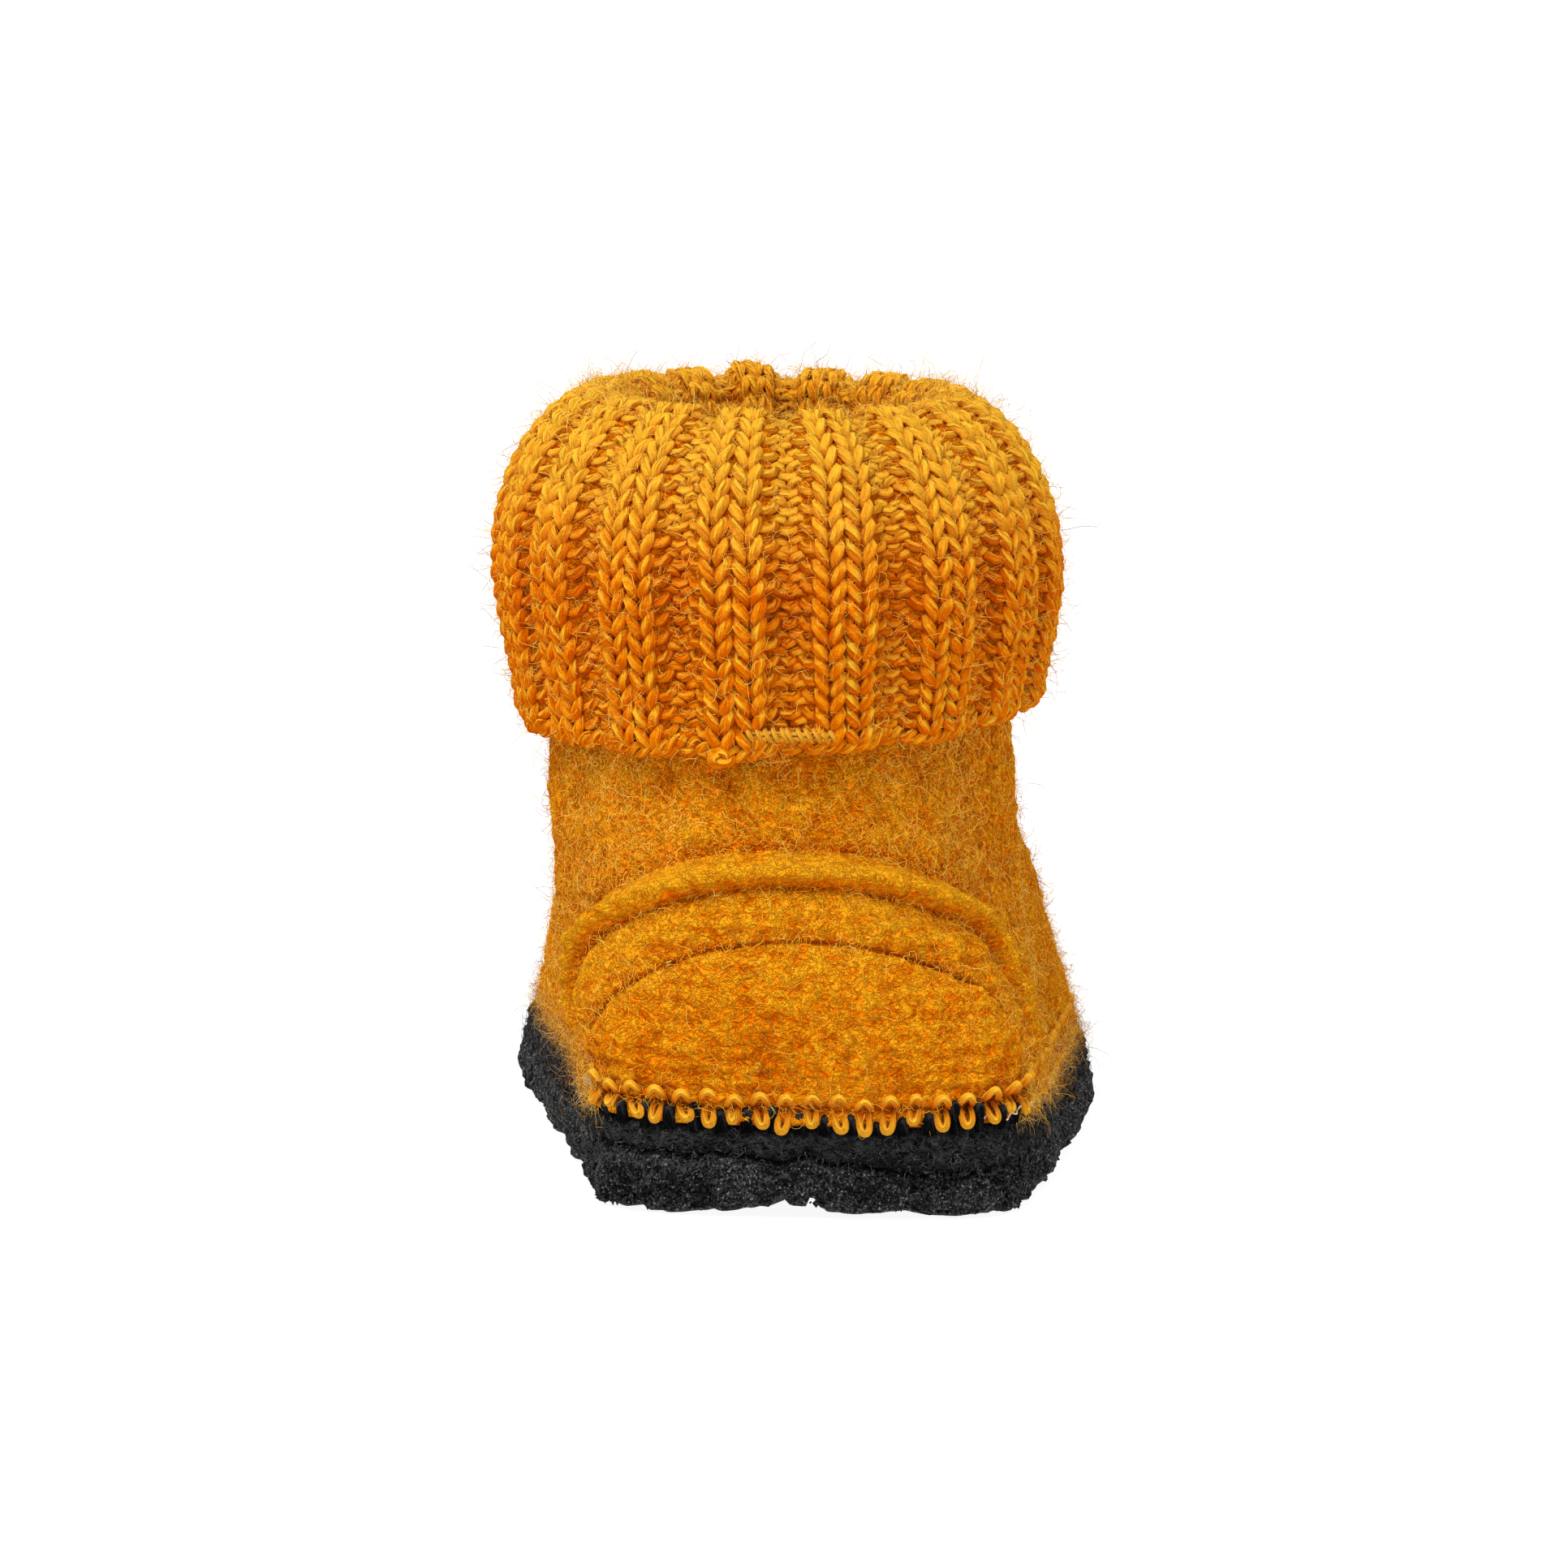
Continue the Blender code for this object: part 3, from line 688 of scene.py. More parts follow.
HEM_FRONT_RISE = 0.0040
HEM_FRONT_SPAN = (0.30, 1.00)
HEM_SIDE_RISE = 0.0010
RIM_FRONT_RISE = 0.0004
# The rib that stands tallest at the front of the rim: its middle and half width as sines of the turn
FRONT_RIB = (-0.19, 0.13)
FRONT_RIB_RISE = 0.0008
FRONT_RIB_SPAN = (0.6, 0.9)

# Ribs of two knit and two purl wales
WALES = 68
WALES_PER_RIB = 4
KNIT_WALES = (1, 2)
RIB_MIDDLE = 2
RIB_SHIFT = 0.4
RIB_SKEW = 0.95
RIB_WIDENING = 0.12
RIB_LIFT = 0.00025
VALLEY_DEPTH = 0.00165
VALLEY_WIDEST_EXTRA = 0.35
GATHERED_FLATTENING = 0.6

# Knitted rows and the loops of their yarn. Jitters are shares of what they change.
KNIT_ROWS = 32
ROW_HEIGHT = CUFF_RUN / KNIT_ROWS
FIRST_ROW = 0.75
YARN_RADIUS = 0.00067
YARN_SWELL = 0.27
PURL_SWELL = 0.06
GATHERED_THINNING = 0.50
LOOP_SPREAD = 0.25
LOOP_HEIGHT = 0.85
LOOP_DEPTH = 0.00070
LOOP_TURN = 0.55 * math.pi
WANDER = 0.12
WANDER_PER_WALE = 0.55
WANDER_PER_ROW = 0.35
SPREAD_JITTER = 0.07
HEIGHT_JITTER = 0.05
PLACE_JITTER = 0.10
DEPTH_JITTER = 0.12
RADIUS_JITTER = 0.06

# Painted shade: how far yarn takes the deep colour where it dips in, low in its loops, on its sides and at
# the cuff's widest place. Pale fuzz and painted top light: how far it takes the pale one towards the rim.
PAINTED_SHADE_START = 0.05
PAINTED_SHADE_WIDEST = 0.36
RIB_PAINTED_SHADE_RANGE = 0.0060
LOOP_PAINTED_SHADE_RANGE = 0.0018
PAINTED_SHADE_MOST = 0.80
LOW_PAINTED_SHADE = 0.25
SIDE_PAINTED_SHADE = 0.85
PAINTED_SHADE_GATHERED_FADE = 1.6
SIDE_PAINTED_SHADE_GATHERED_FADE = 0.6
PALE_FUZZ_AND_LIGHT_SPAN = (0.004, 0.024)
PALE_FUZZ_AND_LIGHT_MOST = 0.55
PALE_FUZZ_AND_LIGHT_INNER_FADE = 0.8
INNER_SPAN = (-0.001, 0.004)

# Pieces of the knit: name, first row and end row from the hem, points in a loop, sides of the yarn
KNIT_PIECES = (
    ("cuff_knit_hem", 0, 12, 16, 6),
    ("cuff_knit_rim", 12, 23, 16, 5),
    ("cuff_knit_inner", 23, KNIT_ROWS, 8, 4),
)
YARN_LINES = []


def rib_wave(wave, wale):
    """A wave that goes round once in each rib."""
    return wave((wale - RIB_MIDDLE) / WALES_PER_RIB * FULL_TURN)


def wale_turn(wale):
    """Angle round the cuff of each wale, counted from the back, with equal lengths at the widest place."""
    fine = np.linspace(0, FULL_TURN, FINE // 2 + 1)
    oval = np.stack([CUFF_WIDEST * np.sin(fine), (CUFF_WIDEST + COLLAR_DEPTH_EXTRA) * np.cos(fine)], axis=-1)
    length = run_along(oval)
    spread = wale + RIB_WIDENING * rib_wave(np.sin, wale) + RIB_SHIFT
    spread = spread + RIB_SKEW * along(FULL_TURN * wale / WALES)
    return np.interp(np.mod(spread, WALES) / WALES * length[-1], length, fine)


def profile(index, run):
    """Half width (0) or height (1) of the cuff's wall at a run along its folded profile."""
    return smooth_curve(PROFILE_RUN, column(CUFF_PROFILE, index), run)


def cuff_at(turn, run, lift):
    """Point over the cuff's cloth at an angle round it from the back."""
    step = 0.0008
    height = profile(1, run)
    ahead_width, ahead_height = (profile(k, run + step) - profile(k, run - step) for k in (0, 1))
    face = unit(np.stack([-ahead_height, ahead_width], axis=-1))
    reach = profile(0, run) + face[..., 0] * lift
    past_hem = np.maximum(run - CUFF_RUN, 0)
    hem_share = np.minimum(height, 0.0) / CUFF_PROFILE[-1][1]
    rim_share = np.maximum(height, 0.0) / CUFF_HIGHEST
    hem_rise = HEM_FRONT_RISE * smooth_step(*HEM_FRONT_SPAN, along(turn))
    hem_rise = hem_rise + HEM_SIDE_RISE * (1 + np.sin(turn)) ** 2
    front_rib = bell(np.sin(turn), *FRONT_RIB) * smooth_step(*FRONT_RIB_SPAN, along(turn))
    rise = hem_rise * hem_share + (RIM_FRONT_RISE * along(turn) + FRONT_RIB_RISE * front_rib) * rim_share
    x = CUFF_X + CUFF_LEAN * height + reach * np.sin(turn)
    y = COLLAR_Y - (reach + COLLAR_DEPTH_EXTRA) * np.cos(turn)
    z = COLLAR_HEIGHT + GAP + height + rise + face[..., 1] * lift - past_hem
    return np.stack([x, y, z], axis=-1)


def cuff_point(wale, run, lift):
    """Point over the cuff's cloth at a wale: run goes along its profile from the collar to the hem."""
    return cuff_at(wale_turn(wale), run, lift)


def cuff_normal(wale, run):
    return unit(cuff_point(wale, run, 0.001) - cuff_point(wale, run, 0.0))


def wale_sign(wale):
    """1 in a knit wale and -1 in a purl wale."""
    return np.where(np.isin(np.mod(wale, WALES_PER_RIB), KNIT_WALES), 1.0, -1.0)


def gathering(run):
    """How much narrower the cuff is at a place than at its widest, from 0 up."""
    return 1 - profile(0, run) / CUFF_WIDEST


def rib_lift(height, run):
    """Lift of the cloth where the rib's height goes from -1 in a valley to 1 on a rib."""
    valley = VALLEY_DEPTH * (1 + VALLEY_WIDEST_EXTRA * bell(run, WIDEST_RUN, WIDEST_SPAN))
    return np.where(height > 0, RIB_LIFT, valley) * height * (1 - GATHERED_FLATTENING * gathering(run))


def knit_rows(first, last, segments, sides):
    """The yarn of some rows, counted from the hem. Each row is one closed yarn through every wale."""
    steps = WALES * segments
    phase = np.tile(np.arange(segments) * FULL_TURN / segments, WALES)
    wale = np.repeat(np.arange(WALES), segments)
    own = wale_sign(wale)
    before = (own + wale_sign(wale - 1)) / 2
    after = (own + wale_sign(wale + 1)) / 2
    into = smooth_step(0.0, LOOP_TURN, phase)
    out_of = smooth_step(FULL_TURN - LOOP_TURN, FULL_TURN, phase)
    sign = before + (own - before) * into + (after - own) * out_of
    rib = np.where(phase < math.pi, before + (own - before) * into, own + (after - own) * out_of)
    window = (1 - np.cos(phase)) / 2
    crown = (1 + np.sin(np.arange(sides) * FULL_TURN / sides)) / 2
    lines, normals, radii, painted_dip_shades, pale_fuzz_and_painted_lights = [], [], [], [], []
    for row in range(first, last):
        jitter = DRAW.normal(0, 1, (4, WALES))[:, wale] * window
        down = np.full(steps, row * WANDER_PER_ROW)
        place = np.stack([wale * WANDER_PER_WALE, down, np.zeros(steps)], axis=-1)
        spread = LOOP_SPREAD * (1 + SPREAD_JITTER * jitter[0])
        across = wale + phase / FULL_TURN + spread * np.sin(2 * phase) + WANDER * noise(place, 1.0, 3)
        up = -LOOP_HEIGHT * np.cos(phase) * (1 + HEIGHT_JITTER * jitter[1]) + PLACE_JITTER * jitter[2]
        run = CUFF_RUN - (row + FIRST_ROW + up) * ROW_HEIGHT
        tight = gathering(run)
        own_lift = -LOOP_DEPTH * (1 + DEPTH_JITTER * jitter[3]) * np.cos(2 * phase) * sign
        cloth_lift = rib_lift(rib, run)
        lines.append(cuff_point(across, run, own_lift + cloth_lift))
        normals.append(cuff_normal(across, run))
        swell = 1 - YARN_SWELL * np.cos(2 * phase) * np.maximum(sign, 0) - PURL_SWELL * np.minimum(sign, 0)
        thinning = 1 - GATHERED_THINNING * tight
        radii.append(YARN_RADIUS * swell * thinning * (1 + RADIUS_JITTER * jitter[0]))
        # Painted shade: the deep colour where the yarn dips in, at the low ends of knit loops, on the sides
        # of the tube and most at the cuff's widest place, less where the cuff is gathered
        painted_dip_shade = PAINTED_SHADE_START + PAINTED_SHADE_WIDEST * bell(run, WIDEST_RUN, WIDEST_SPAN)
        painted_dip_shade = painted_dip_shade - cloth_lift / RIB_PAINTED_SHADE_RANGE - own_lift / LOOP_PAINTED_SHADE_RANGE
        painted_dip_shade = painted_dip_shade + LOW_PAINTED_SHADE * (1 - window) ** 2 * np.maximum(sign, 0)
        painted_dip_shade = np.clip(painted_dip_shade, 0, 1) * np.clip(1 - PAINTED_SHADE_GATHERED_FADE * tight, 0, 1)
        painted_side_shade = SIDE_PAINTED_SHADE * (1 - SIDE_PAINTED_SHADE_GATHERED_FADE * tight)
        painted_dip_shades.append(np.clip(painted_dip_shade[:, None] + painted_side_shade[:, None] * (1 - crown), 0, PAINTED_SHADE_MOST))
        # Pale fuzz and painted top light: paler up towards the rim, less on the inner side of the fold
        inner = PALE_FUZZ_AND_LIGHT_INNER_FADE * smooth_step(*INNER_SPAN, RIM_RUN - run)
        pale_fuzz_and_painted_lights.append(PALE_FUZZ_AND_LIGHT_MOST * smooth_step(*PALE_FUZZ_AND_LIGHT_SPAN, profile(1, run)) * (1 - inner))
    YARN_LINES.append((np.concatenate(lines), np.concatenate(normals)))
    points, faces, uv = tubes(np.array(lines), np.array(normals), np.array(radii), sides, closed=True)
    return points, faces, uv, {"painted_dip_shade": np.array(painted_dip_shades), "pale_fuzz_and_painted_light": np.repeat(np.array(pale_fuzz_and_painted_lights).ravel(), sides)}


def make_knit():
    for name, first, last, segments, sides in KNIT_PIECES:
        points, faces, uv, marks = knit_rows(first, last, segments, sides)
        make_piece(name, points, faces, ORANGE_YARN, ("cuff",), uv, marks)


BACKING_ROWS = 34
BACKING_ENDS = (0.0006, 0.0012)
BACKING_HALF = 0.0002


def make_painted_shade_backing():
    """Thin felted cloth inside the knit, which closes the view between its loops; its darker felt is painted
    shade there.
    """
    wales = np.arange(WALES * 2) / 2
    wale, run = np.meshgrid(wales, np.linspace(BACKING_ENDS[0], CUFF_RUN - BACKING_ENDS[1], BACKING_ROWS))
    rib = rib_lift(rib_wave(np.cos, wale), run)
    outer = cuff_point(wale, run, rib + BACKING_HALF)
    inner = cuff_point(wale, run, rib - BACKING_HALF)
    rows = np.concatenate([outer, inner[::-1]])
    faces = looped_quads(len(rows), len(wales))
    make_piece("cuff_backing_painted_shade", rows, faces[:, ::-1], PAINTED_SHADE_FELT, ("cuff",))


CAST_OFF_SEGMENTS = 10
CAST_OFF_RUN = 0.0006
CAST_OFF_REACH = (0.00062, 0.00055)
CAST_OFF_WOBBLE = (0.0005, 1.3, 5)
CAST_OFF_RIB_RUN = 0.0004
CAST_OFF_RIB_LIFT = 0.8
CAST_OFF_RADIUS = 0.92 * YARN_RADIUS


def make_cast_off():
    """Cast-off edge: two strands laid round each other along the hem."""
    steps = WALES * CAST_OFF_SEGMENTS
    wale = np.arange(steps) / CAST_OFF_SEGMENTS
    still = np.zeros(steps)
    lines, normals = [], []
    rib = rib_wave(np.cos, wale)
    uneven = lumps(np.stack([wale, still, still], axis=-1), CAST_OFF_WOBBLE) + CAST_OFF_RIB_RUN * rib
    for start in (0.0, math.pi):
        turn = wale * FULL_TURN + start
        run = CUFF_RUN - CAST_OFF_RUN + CAST_OFF_REACH[0] * np.cos(turn) + uneven
        lift = CAST_OFF_REACH[1] * np.sin(turn) + CAST_OFF_RIB_LIFT * rib_lift(rib, CUFF_RUN)
        on_cloth = np.minimum(run, CUFF_RUN)
        lines.append(cuff_point(wale, on_cloth, lift) - np.stack([still, still, run - on_cloth], axis=-1))
        normals.append(cuff_normal(wale, on_cloth))
    points, faces, uv = tubes(np.array(lines), np.array(normals), CAST_OFF_RADIUS, 6, closed=True)
    make_piece("cuff_cast_off", points, faces, ORANGE_YARN, (), uv)


TACK_SPAN = (-0.0034, 0.0066)
TACK_RUN = 0.0026
TACK_SLOPE = 0.0007
TACK_STITCHES = 11
TACK_RADIUS = 0.00034
LAID_HALF_GAP = 0.00032
LAID_LIFT = 0.0011
LAID_WAVE = (0.0003, 2600)
STITCH_JITTER = 0.00012
STITCH_SLANT = 0.0004
STITCH_HALF_LENGTH = 0.00085
STITCH_LIFT = (0.0002, 0.0014)
KNOT_X = -0.0072
KNOT_RADIUS = 0.0007
KNOT_LOBES = 0.35
KNOT_WIDTH = 1.5
KNOT_DEPTH = 0.6
KNOT_YARN = YARN_RADIUS * 0.9
KNOT_LIFT = 0.0008
KNOT_DROP = 0.0005
FACING_BACK = np.array([0.0, -1.0, 0.0])


def hem_turn(x):
    """Angle round the cuff of a place at the back of the hem that lies x to the side of the middle."""
    return np.arcsin(np.asarray(x) / CUFF_PROFILE[-1][0])


def make_tack():
    """Bar of thread sewn over the hem at the back: slanted stitches over two laid strands."""
    middle = CUFF_RUN - TACK_RUN
    width = TACK_SPAN[1] - TACK_SPAN[0]
    x = np.linspace(*TACK_SPAN, 24)
    laid, over = [], []
    for offset in (-LAID_HALF_GAP, LAID_HALF_GAP):
        run = middle + offset + TACK_SLOPE * (x - TACK_SPAN[0]) / width
        laid.append(cuff_at(hem_turn(x), run, LAID_LIFT + LAID_WAVE[0] * np.sin(x * LAID_WAVE[1])))
    t = np.linspace(-1, 1, 9)
    lift = STITCH_LIFT[0] + STITCH_LIFT[1] * np.sqrt(1 - 0.98 * t ** 2)
    for start in np.linspace(*TACK_SPAN, TACK_STITCHES) + DRAW.normal(0, STITCH_JITTER, TACK_STITCHES):
        run = middle + STITCH_HALF_LENGTH * t + TACK_SLOPE * (start - TACK_SPAN[0]) / width
        over.append(cuff_at(hem_turn(start + STITCH_SLANT * t), run, lift))
    parts = []
    for lines in (np.array(laid), np.array(over)):
        parts.append(tubes(lines, np.broadcast_to(FACING_BACK, lines.shape), TACK_RADIUS, 6, closed=False))
    points, faces, uv = joined(parts)
    make_piece("cuff_tack", points, faces, TACK_THREAD, (), uv)


def make_knot():
    """Knot of yarn at the lowest place of the hem."""
    t = np.linspace(0, FULL_TURN, 60, endpoint=False)
    middle = cuff_at(hem_turn(np.array([KNOT_X])), np.array([CUFF_RUN]), np.array([KNOT_LIFT]))[0]
    reach = KNOT_RADIUS * (1 + KNOT_LOBES * np.cos(3 * t))
    line = middle + np.stack([
        KNOT_WIDTH * reach * np.cos(2 * t),
        KNOT_DEPTH * KNOT_RADIUS * np.sin(3 * t),
        reach * np.sin(2 * t) - KNOT_DROP,
    ], axis=-1)
    normals = np.broadcast_to(FACING_BACK, line.shape)
    points, faces, uv = tubes(line[None], normals[None], KNOT_YARN, 6, closed=True)
    make_piece("cuff_knot", points, faces, ORANGE_YARN, (), uv)


make_knit()
make_painted_shade_backing()
make_cast_off()
make_tack()
make_knot()


# Felt upper and heel counter

UPPER_COLUMNS = 410
UPPER_ROWS = 110
INNER_ROWS = 12
INNER_RELIEF = 0.5
UPPER_CROWDING = 0.50
# Soft lumps of the felt: height, size, seed
FELT_LUMPS = ((0.00022, 0.0062, 11), (0.00034, 0.0021, 12), (0.00024, 0.0012, 13))
# Painted light and shade of the felt follow its relief: this height gives full painted light, and the range
# bounds it
PAINTED_LIGHT_RELIEF_HEIGHT = 0.00055
PAINTED_LIGHT_RELIEF_RANGE = (-2, 1.6)
SEAM_RISE = 0.0030
SEAM_SPAN = 0.0007
SEAM_DEPTH = 0.0009
SEAM_FADE = (0.05, 0.14)
WAIST_SHARE = (0.29, 0.40)
WAIST_SPAN = 0.065
WAIST_DEPTH = 0.0024
WAIST_LEVELS = ((0.0, 0.14), (0.50, 0.80))
GHOST_WALE = 0.0021
GHOST_ROW = 0.0022
GHOST_HEIGHT = 0.00016
GHOST_DRIFT = (0.9, 0.012, 21)
GHOST_SHOWN = 0.55
GHOST_FADE = (0.7, 0.009, 22)

# Heel counter: half its reach round the heel and its height, then height of the felt over the upper
# at each distance in from its edge
COUNTER_REACH = 0.0440
COUNTER_SHIFT = 0.0020
COUNTER_HEIGHT = 0.0342
COUNTER_RELIEF = (
    (-0.0018, -0.0010),
    (-0.0006, 0.0002),
    (0.0004, 0.0021),
    (0.0014, 0.0033),
    (0.0024, 0.0030),
    (0.0031, 0.0018),
    (0.0035, 0.0009),
    (0.0037, 0.0004),
    (0.0039, 0.0007),
    (0.0043, 0.0011),
    (0.0052, 0.0015),
    (0.0068, 0.0018),
    (0.0086, 0.0016),
    (0.0097, 0.0012),
    (0.0102, 0.0008),
    (0.0105, 0.0002),
    (0.0108, 0.0008),
    (0.0114, 0.0014),
    (0.0126, 0.0019),
    (0.0150, 0.0023),
    (0.0190, 0.0023),
    (0.0260, 0.0018),
    (0.0322, 0.0012),
    (0.0338, 0.0010),
)
COUNTER_COLUMNS = 250
COUNTER_ROWS = 92
COUNTER_INNER_STEP = 13
COUNTER_THICKNESS = 0.0014
COUNTER_GROOVES = (0.0037, 0.0105)
GROOVE_SPAN = 0.0005
GROOVE_CROWDING = 4
GROOVE_CROWD_SPAN = 0.0006
# The felt of the upper sinks in under the counter and, as a shallow ditch, beside its edge
COUNTER_SINK = 0.0016
SINK_EDGE = (0.90, 0.97)
BESIDE_DEPTH = 0.0004
BESIDE_PLACE = (1.03, 0.035)
BESIDE_FADE = (0.06, 0.16)
# Painted shade in the ditch beside the counter's edge, stronger than its depth alone gives
BESIDE_PAINTED_SHADE = 1.6
FAR_FROM_COUNTER = 9.0
COUNTER_LEAST = 0.20
COUNTER_END_FADE = (0.05, 0.50)
COUNTER_GHOST = 1.8
# Welt and strip: middle and half width. The welt is a rope of strands with lumps: height, size, seed.
WELT = (0.0016, 0.0014)
WELT_TWIST = 0.0034
WELT_WANDER = (2, 0.006, 24)
WELT_LUMPS = (0.00035, 0.0034, 23)
WELT_STRANDS = 0.00036
STRIP = (0.0070, 0.0024)
# Painted light on the welt and the strip and painted shade in the grooves, as heights added to the relief
# that sets the felt's painted light and shade
ROPE_PAINTED_LIGHT = 0.0008
ROPE_STRANDS_PAINTED_LIGHT = 0.0003
STRIP_PAINTED_LIGHT = 0.0003
GROOVE_PAINTED_SHADE = 0.0004


def felt_relief(points):
    """Height of the felt's soft lumps at points on it."""
    return lumps(points, *FELT_LUMPS)


# Painted light and shade from relief: paler where felt stands out, darker where it lies in
def painted_relief_light_of(relief):
    return np.clip(relief / PAINTED_LIGHT_RELIEF_HEIGHT, *PAINTED_LIGHT_RELIEF_RANGE)


def seam_groove(angle, height):
    """1 in the shallow groove between the loop row and the bumps above it, at the heel."""
    heel = 1 - smooth_step(*SEAM_FADE, along(angle))
    return bell(height - band_top(angle), SEAM_RISE, SEAM_SPAN) * heel


def waist_trough(angle, level):
    """Depth of the soft trough down each side, between the heel and ankle and the forefoot."""
    middle = WAIST_SHARE[0] + (WAIST_SHARE[1] - WAIST_SHARE[0]) * level
    across = bell(along(angle), middle, WAIST_SPAN)
    start, end = WAIST_LEVELS
    return WAIST_DEPTH * across * smooth_step(*start, level) * (1 - smooth_step(*end, level))


def knit_ghost(reach, height, points):
    """Trace of the knit under the felting: rows of soft bumps that fade in and out."""
    drift = lumps(points, GHOST_DRIFT)
    rows = np.cos(FULL_TURN * height / GHOST_ROW + drift)
    wales = np.cos(FULL_TURN * reach / GHOST_WALE + 0.6 * drift + np.where(rows > 0, 0, math.pi) * 0.3)
    fade = np.clip(GHOST_SHOWN + lumps(points, GHOST_FADE), 0, 1)
    return GHOST_HEIGHT * (0.6 * rows + 0.5 * rows * wales) * fade


def counter_across(angle, height):
    """How far out from the middle of the heel counter a place on the upper lies: 1 on the counter's edge."""
    from_back = np.mod(angle + math.pi, FULL_TURN) - math.pi
    reaches = np.linspace(-COUNTER_REACH, COUNTER_REACH, 181)
    reach = np.interp(from_back, heel_angle(COUNTER_SHIFT + reaches), reaches)
    rise = height - band_top(angle) - 2 * GAP
    across = np.hypot(reach / COUNTER_REACH, np.maximum(rise, 0) / COUNTER_HEIGHT)
    return np.where(np.abs(from_back) < math.pi / 2, across, FAR_FROM_COUNTER)


def make_upper():
    """Felted shell with its soft lumps, open at the collar and underneath."""
    angle = angles(UPPER_COLUMNS, UPPER_CROWDING)
    around, up = np.meshgrid(angle, np.linspace(0, 1, UPPER_ROWS))
    face = upper_face(around, up)
    reach = np.broadcast_to(run_along(face[0]), around.shape)
    relief = felt_relief(face) + knit_ghost(reach, face[..., 2], face)
    across = counter_across(around, face[..., 2])
    beside = BESIDE_DEPTH * bell(across, *BESIDE_PLACE) * (1 - smooth_step(*BESIDE_FADE, along(around)))
    sunk = COUNTER_SINK * (1 - smooth_step(*SINK_EDGE, across)) + waist_trough(around, up)
    outer = face + upper_normal(around, up) * (relief - sunk - beside)[..., None]
    around_in, up_in = np.meshgrid(angle, np.linspace(0, 1, INNER_ROWS))
    inner_face = upper_face(around_in, up_in)
    depth = WALL - INNER_RELIEF * felt_relief(inner_face)
    inner = inner_face - upper_normal(around_in, up_in) * depth[..., None]
    rows = np.concatenate([outer, inner[::-1]])
    faces = looped_quads(len(rows), UPPER_COLUMNS)
    # Painted light and shade by relief, with more painted shade in the ditch beside the counter, none on the
    # inner face
    painted_relief_light = np.concatenate([painted_relief_light_of(relief - BESIDE_PAINTED_SHADE * beside), np.zeros(inner.shape[:2])])
    make_piece("upper_felt", rows, faces, ORANGE_FELT, ("upper",), None, {"painted_relief_light": painted_relief_light})


def counter_place(turn, inset):
    """Angle and level on the upper at a turn over the counter's arch and an inset from its edge."""
    angle = heel_angle(COUNTER_SHIFT + (COUNTER_REACH - inset) * np.cos(turn))
    height = band_top(angle) + 2 * GAP + (COUNTER_HEIGHT - inset) * np.sin(turn)
    return angle, level_at_height(angle, height)


def counter_insets():
    """Distances in from the counter's edge, much closer together at its grooves."""
    even = np.linspace(COUNTER_RELIEF[0][0], COUNTER_RELIEF[-1][0], 2000)
    crowd = 1 + sum(GROOVE_CROWDING * bell(even, groove, GROOVE_CROWD_SPAN) for groove in COUNTER_GROOVES)
    length = np.cumsum(crowd)
    return np.interp(np.linspace(length[0], length[-1], COUNTER_ROWS), length, even)


def make_counter():
    """Arched patch over the heel with a welt and two sewn grooves. Its rim runs in under the upper."""
    turn = np.linspace(0, math.pi, COUNTER_COLUMNS)
    fade = COUNTER_LEAST + (1 - COUNTER_LEAST) * smooth_step(*COUNTER_END_FADE, np.sin(turn))
    reach = COUNTER_REACH * np.cos(turn)
    outer, inner, painted_relief_lights = [], [], []
    for step, inset in enumerate(counter_insets()):
        angle, level = counter_place(turn, inset)
        face = upper_face(angle, level)
        normal = upper_normal(angle, level)
        welt = bell(inset, *WELT)
        strip = bell(inset, *STRIP)
        groove = sum(bell(inset, place, GROOVE_SPAN) for place in COUNTER_GROOVES)
        twist = FULL_TURN * (turn * COUNTER_HEIGHT + inset) / WELT_TWIST
        strands = np.cos(twist + lumps(face, WELT_WANDER))
        rise = table_curve(COUNTER_RELIEF, 1, inset)
        rise = rise + welt * (lumps(face, WELT_LUMPS) + WELT_STRANDS * strands)
        relief = felt_relief(face) + COUNTER_GHOST * knit_ghost(reach, face[:, 2], face)
        relief = relief - SEAM_DEPTH * seam_groove(angle, face[:, 2])
        outer.append(face + normal * (rise * fade + relief)[:, None])
        # Painted light on the welt and strip and painted shade in the grooves, on top of the relief's painted
        # light and shade
        rope = welt * (ROPE_PAINTED_LIGHT + ROPE_STRANDS_PAINTED_LIGHT * strands)
        painted_relief_lights.append(painted_relief_light_of(relief + (rope + STRIP_PAINTED_LIGHT * strip - GROOVE_PAINTED_SHADE * groove) * fade))
        if step % COUNTER_INNER_STEP == 0:
            inner.append(face - normal * COUNTER_THICKNESS)
    rows = np.concatenate([np.array(outer), np.array(inner)[::-1]])
    faces = looped_quads(len(rows), COUNTER_COLUMNS, closed=False)
    ends = np.arange(len(rows)) * COUNTER_COLUMNS
    caps = np.stack([ends, (ends + COUNTER_COLUMNS - 1)[::-1]])
    marks = {"painted_relief_light": np.concatenate([np.array(painted_relief_lights), np.zeros((len(inner), COUNTER_COLUMNS))])}
    faces = [faces[:, ::-1], caps]
    nodes = ("heel_counter",)
    make_piece("heel_counter_felt", rows, faces, ORANGE_FELT, nodes, None, marks)


make_upper()
make_counter()


# Charcoal band, sole and insole

BAND_COLUMNS = 840
BAND_THICKNESS = 0.0036
BAND_INSET = 0.0010
BAND_TUCK = 0.0004
BAND_INNER_DROP = 0.0012
BAND_YARN = 0.0023
BAND_YARN_SLOPE = 1.2
BAND_WANDER = (1.5, 0.006, 35)
